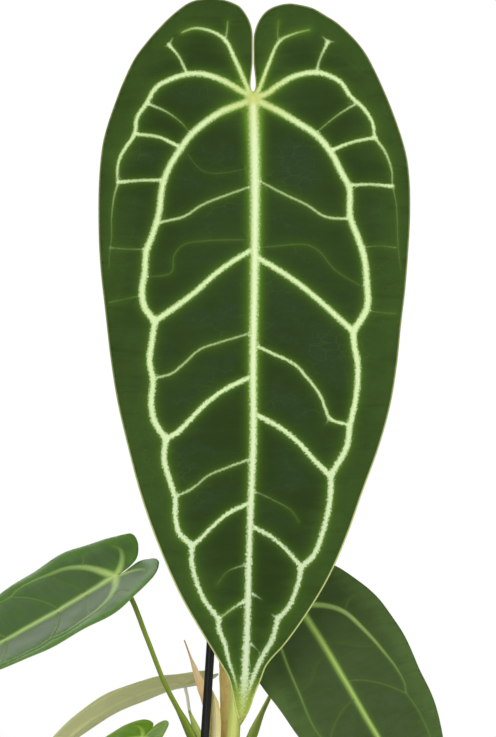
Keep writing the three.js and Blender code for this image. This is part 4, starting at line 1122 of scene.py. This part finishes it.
def bed_parts():
    """The mix below its chips: a crumbly top, and the tapered body that fills the pot."""
    sides, rows = 120, 46
    points = []
    for i in range(rows + 1):
        for k in range(sides):
            x, y = on_circle(BED_RADIUS * i / rows, k, sides)
            z = mix_surface(x, y) - BED_GAP
            z += 1.1 * noise.noise((x * 0.35, y * 0.35, 2.0)) + 0.6 * noise.noise((x * 1.1, y * 1.1, 5.0))
            points.append((x, y, z))
    for z in (90, 70, 50, 30, 10, 3.4):
        points += [(*on_circle(inside_radius(z) - BED_GAP, k, sides), z) for k in range(sides)]
    count = len(points) // sides
    faces = [f[::-1] for f in quads(count, sides) + ends(count, sides)[1:]]
    return np.array(points), faces, np.tile((0.5, 0.2, 0.0), (len(points), 1))


def bark_material():
    f = Finish("bark_mix", Roughness=0.88, Specular_IOR_Level=0.25)
    shade, other, _, _ = f.field("bit")
    fibre = f.noise(f.scaled(f.place(), (260, 620, 900)), 1.0, 5, 0.7)
    blot = f.noise(f.place(), 240, 4)
    colour = f.paint(
        rgb(88, 60, 40),
        (shade, rgb(134, 94, 62)),
        (f.ramp(other, 0.6, 0.9, 0, 0.8), rgb(62, 46, 36)),
        (f.ramp(fibre, 0.42, 0.7, 0, 0.75), rgb(54, 36, 25)),
        (f.ramp(blot, 0.55, 0.75, 0, 0.45), rgb(164, 126, 90)))
    return f.done(colour, f.plus(fibre, blot), 0.7, 0.8)


def soil_material():
    f = Finish("fine_mix", Roughness=0.95, Specular_IOR_Level=0.2)
    crumb = f.cells(f.place(), 520, "F1")
    blot = f.noise(f.place(), 160, 5, 0.65)
    colour = f.paint(
        rgb(40, 29, 22),
        (f.ramp(blot, 0.35, 0.65), rgb(74, 54, 39)),
        (f.ramp(crumb, 0, 0.7, 0.4, 0), rgb(104, 80, 58)))
    return f.done(colour, f.plus(crumb, blot), 0.8, 1.0)


def perlite_material():
    f = Finish("perlite", Roughness=0.85, Specular_IOR_Level=0.35)
    stain = f.ramp(f.noise(f.place(), 300, 4), 0.45, 0.7, 0, 0.55)
    colour = f.mix(stain, rgb(226, 222, 210), rgb(186, 170, 144))
    return f.done(colour, f.cells(f.place(), 1500, "F1"), 0.7, 0.4)


def stake_material():
    f = Finish("stake_plastic", Specular_IOR_Level=0.28)
    scuff = f.noise(f.scaled(f.place(), (500, 500, 40)), 1.0, 4, 0.6)
    f.set("Roughness", f.ramp(scuff, 0.3, 0.7, 0.38, 0.55))
    return f.done(f.mix(f.ramp(scuff, 0.5, 0.75, 0, 0.6), rgb(11, 12, 8), rgb(26, 27, 22)), scuff, 0.2, 0.12)


def tie_material():
    f = Finish("tie_rubber", Roughness=0.6, Specular_IOR_Level=0.4)
    grain = f.noise(f.place(), 1500)
    return f.done(f.mix(f.ramp(grain, 0.35, 0.7), rgb(30, 31, 31), rgb(44, 46, 45)), grain, 0.3, 0.15)


# The two ends of the stake's middle line, its radius, and its fine ribs.
STAKE = [(-18.5, -5, 30), (11, -4.6, 497)]
STAKE_RADIUS, STAKE_RIBS, RIB_DEPTH = 2.5, 8, 0.018
# A tie's middle line from stake and petiole, half its thickness, half its height, and its mesh.
TIE_REACH, TIE_HALF_THICK, TIE_HALF_HIGH = 4.2, 0.5, 2.5
TIE_TURN, TIE_SECTION = 24, 16


def make_stake():
    foot, head = (Vector(end) for end in STAKE)
    up = (head - foot).normalized()
    out = up.cross(Vector((0, 1, 0))).normalized()
    back = up.cross(out)
    length = (head - foot).length
    stations = [(0.0, 0.15), (2.0, 0.5), (5.0, 0.86), (8.0, 1.0)]
    stations += [(8 + (length - 10) * k / 90, 1.0) for k in range(1, 91)]
    stations += [(length - 1.2, 0.93), (length - 0.5, 0.75), (length - 0.1, 0.42), (length, 0.12)]
    sides = 28
    points, field = [], []
    for s, size in stations:
        for k in range(sides):
            ribbed = 1 + RIB_DEPTH * math.cos(STAKE_RIBS * k * TAU / sides)
            c, d = on_circle(STAKE_RADIUS * size * ribbed, k, sides)
            points.append(tuple(foot + up * s + out * c + back * d))
            field.append((s, k / sides, s / length))
    count = len(stations)
    make_piece("stake_rod", points, quads(count, sides) + ends(count, sides), stake_material(),
               ["stake"], {"bar": field})


def straight_at(points, z):
    """Where a line through points is at a height."""
    a, b = next((a, b) for a, b in zip(points, points[1:]) if b[2] >= z)
    share = (z - a[2]) / (b[2] - a[2])
    return np.array((lerp(a[0], b[0], share), lerp(a[1], b[1], share)))


def make_tie(name, level, material):
    """A soft rubber band round the stake and the tallest petiole, in the oval that its solid has."""
    first = straight_at(STAKE, level)
    second = straight_at(PETIOLES["main"]["points"], level)
    along = second - first
    reach = np.linalg.norm(along) / 2
    along = along / (2 * reach)
    across = np.array((-along[1], along[0]))
    middle = (first + second) / 2
    loop = []
    for end in (1, -1):
        for k in range(TIE_TURN):
            a = (k / (TIE_TURN - 1) - end / 2) * TAU / 2
            c, s = math.cos(a), math.sin(a)
            loop.append((end * reach + TIE_REACH * c, TIE_REACH * s, c, s))
    rounded = lambda v, power, size: math.copysign(abs(v) ** power, v) * size
    section = [(rounded(c, 0.5, TIE_HALF_THICK), rounded(s, 0.35, TIE_HALF_HIGH))
               for c, s in (on_circle(1, k, TIE_SECTION) for k in range(TIE_SECTION))]
    points = []
    for x, y, nx, ny in loop:
        for thick, high in section:
            lift = thick + 0.06 * math.cos(high * 5) * (thick > 0)
            xy = middle + along * (x + nx * lift) + across * (y + ny * lift)
            points.append((xy[0], xy[1], level + high))
    make_piece(name + "_band", points, quads(len(loop), len(section), True), material, [name])


# Making the pieces

LOOKS = {
    "main_leaf": dict(
        name="velvet_leaf", rough=0.62, gloss=0.1, ragged=(4.2, 7), blur=(0.5, 0.26),
        faint=0.1, full=0.92, fade=1.25,
        tones=dict(
            cell=(36, 55, 13), soft=(41, 62, 20), patch=(40, 61, 33), margin=(54, 78, 27), halo=(92, 132, 28),
            vein=(206, 230, 165), core=(224, 238, 186), low_vein=(202, 218, 182), knot=(194, 202, 98),
            end=(166, 182, 78), rim=(206, 218, 136), under=(122, 148, 84), under_vein=(164, 186, 118))),
    "left_leaf": dict(
        name="side_leaf", rough=0.54, gloss=0.24, ragged=(1, 1), blur=(0.9, 0.9),
        faint=0.08, full=4.8, fade=2,
        tones=dict(
            cell=(70, 98, 48), soft=(74, 102, 52), patch=(76, 98, 62), margin=(86, 128, 46),
            halo=(98, 132, 52), vein=(156, 186, 112), core=(186, 212, 126), low_vein=(168, 196, 114),
            knot=(200, 228, 126), end=(130, 160, 70), rim=(110, 144, 66), under=(150, 162, 110),
            under_vein=(170, 178, 120))),
    "right_leaf": dict(
        name="shaded_leaf", rough=0.6, gloss=0.1, ragged=(1.2, 1.2), blur=(0.7, 0.7),
        faint=0.1, full=2.4, fade=1.8,
        tones=dict(
            cell=(62, 80, 40), soft=(65, 84, 44), patch=(68, 86, 52), margin=(80, 104, 52),
            halo=(88, 116, 52), vein=(144, 168, 110), core=(170, 200, 82), low_vein=(164, 196, 84),
            knot=(174, 206, 96), end=(120, 150, 64), rim=(104, 132, 66), under=(150, 162, 110),
            under_vein=(170, 178, 120))),
    "arched_leaf": dict(
        name="pale_leaf", rough=0.6, gloss=0.12, ragged=(1.2, 1.2), blur=(0.6, 0.6),
        faint=0.2, full=3, fade=1,
        tones=dict(
            cell=(98, 116, 56), soft=(106, 124, 64), patch=(112, 128, 76), margin=(118, 134, 74),
            halo=(128, 150, 80), vein=(150, 162, 100), core=(168, 178, 118), low_vein=(168, 178, 118),
            knot=(176, 184, 118), end=(150, 150, 90), rim=(190, 194, 140), under=(218, 224, 156),
            under_vein=(212, 214, 158))),
    "young_leaf": dict(
        name="young_leaf", rough=0.5, gloss=0.06, ragged=(1.2, 1.2), blur=(0.7, 0.7),
        faint=0.2, full=3.8, fade=1.6,
        tones=dict(
            cell=(88, 128, 14), soft=(98, 138, 18), patch=(96, 134, 26), margin=(108, 146, 26),
            halo=(126, 162, 44), vein=(134, 166, 58), core=(158, 188, 70), low_vein=(150, 182, 70),
            knot=(176, 204, 96), end=(130, 150, 60), rim=(140, 172, 66), under=(150, 176, 90),
            under_vein=(176, 196, 110))),
}

left_veins = side_veins(spread=1.09, lower=(2, -3), slim=(1, 1))
right_veins = side_veins(spread=0.93, lower=(15, 40), slim=(0.66, 0.46))
main_plan = leaf_plan(step=1.7, grid=2.3, veins=[MIDRIB] + VEINS)
left_plan = leaf_plan(step=2.2, grid=3, veins=[SIDE_MIDRIB] + left_veins)
right_plan = leaf_plan(step=2.2, grid=3, veins=[SLIM_MIDRIB] + right_veins)
for key, plan, slot in (("main_leaf", main_plan, "velvet_leaf"), ("left_leaf", left_plan, "velvet_leaf"),
                        ("right_leaf", right_plan, "velvet_leaf"), ("arched_leaf", left_plan, "olive_leaf"),
                        ("young_leaf", left_plan, "young_leaf")):
    make_leaf(key, plan, leaf_material(**LOOKS[key]))
for key in PETIOLES:
    make_petiole(key)
for key in BRACTS:
    make_bract(key)

points, faces, field = joined([stem_parts()] + [root_parts(i) for i in range(len(ROOTS))])
make_piece("stem_bark", points, faces, stem_material(), ["stem"], {"bar": field})
make_pot()
points, faces, field = bed_parts()
make_piece("fine_mix", points, faces, soil_material(), ["potting_mix"], {"bit": field})
points, faces, field = bark_parts()
make_piece("bark_chips", points, faces, bark_material(), [], {"bit": field}, flat=True)
points, faces, field = grit_parts(seed=11, number=150, low=2.2, high=4.8, lift=(0.2, 1.8))
make_piece("perlite_grains", points, faces, perlite_material(), [], {"bit": field}, flat=True)
make_stake()
rubber = tie_material()
make_tie("tie_lower", level=404, material=rubber)
make_tie("tie_upper", level=462, material=rubber)

# Floor, world, lights and camera

# In millimetres: the floor's radius, and how far it lies below the pot.
FLOOR_RADIUS, FLOOR_DROP, FLOOR_SIDES = 1500, 0.4, 96
FLOOR_GREY = 0.86
BACKDROP, FILL = 1.0, 0.42
# Place, target, power in watts, and width; the first two and the width in metres.
LIGHTS = {
    "key": ((0.1, -2.2, 1.8), (0, 0, 0.35), 17, 1.3),
    "fill_right": ((1.7, -1.6, 0.6), (0, 0, 0.3), 14, 1.2),
    "fill_left": ((-0.7, -2.0, 0.2), (0, 0, 0.2), 12, 1.2),
    "back": ((-0.75, 1.45, 1.45), (0, 0, 0.3), 16, 1.0),
}
# The camera stands level; its focal length is in pixels of the photo.
CAMERA_PLACE = (0.015, -2.2, 0.3756)
FOCAL_PX, PHOTO_HEIGHT_PX, SENSOR_MM = 3733, 737, 36


def make_floor():
    f = Finish("floor", Roughness=0.9)
    f.set("Base Color", (FLOOR_GREY, FLOOR_GREY, FLOOR_GREY, 1))
    ring = [(*on_circle(FLOOR_RADIUS, k, FLOOR_SIDES), -FLOOR_DROP) for k in range(FLOOR_SIDES)]
    floor = mesh_object("floor", ring, [tuple(range(FLOOR_SIDES))], f.material)


def make_world():
    """A white backdrop for the camera that lights the plant with less."""
    world = bpy.data.worlds.new("studio")
    world.use_nodes = True
    tree = world.node_tree
    tree.nodes.clear()
    out = tree.nodes.new("ShaderNodeOutputWorld")
    ray = tree.nodes.new("ShaderNodeLightPath")
    blend = tree.nodes.new("ShaderNodeMixShader")
    tree.links.new(ray.outputs["Is Camera Ray"], blend.inputs[0])
    for socket, strength in ((1, FILL), (2, BACKDROP)):
        background = tree.nodes.new("ShaderNodeBackground")
        background.inputs["Color"].default_value = (1, 1, 1, 1)
        background.inputs["Strength"].default_value = strength
        tree.links.new(background.outputs[0], blend.inputs[socket])
    tree.links.new(blend.outputs[0], out.inputs[0])
    bpy.context.scene.world = world


def area_light(name, at, target, power, size):
    data = bpy.data.lights.new(name, "AREA")
    data.shape = "DISK"
    data.size = size
    data.energy = power
    lamp = bpy.data.objects.new(name, data)
    lamp.location = at
    lamp.rotation_euler = (Vector(target) - Vector(at)).to_track_quat("-Z", "Y").to_euler()
    bpy.context.scene.collection.objects.link(lamp)


make_floor()
make_world()
for key, light in LIGHTS.items():
    area_light(key, *light)

camera = bpy.data.cameras.new("photo_view")
camera.sensor_fit = "VERTICAL"
camera.sensor_height = SENSOR_MM
camera.lens = FOCAL_PX * SENSOR_MM / PHOTO_HEIGHT_PX
camera.clip_end = 20
view = bpy.data.objects.new("photo_view", camera)
view.location = CAMERA_PLACE
view.rotation_euler = (math.pi / 2, 0, 0)
bpy.context.scene.collection.objects.link(view)
bpy.context.scene.camera = view
bpy.context.scene.view_settings.view_transform = "Standard"
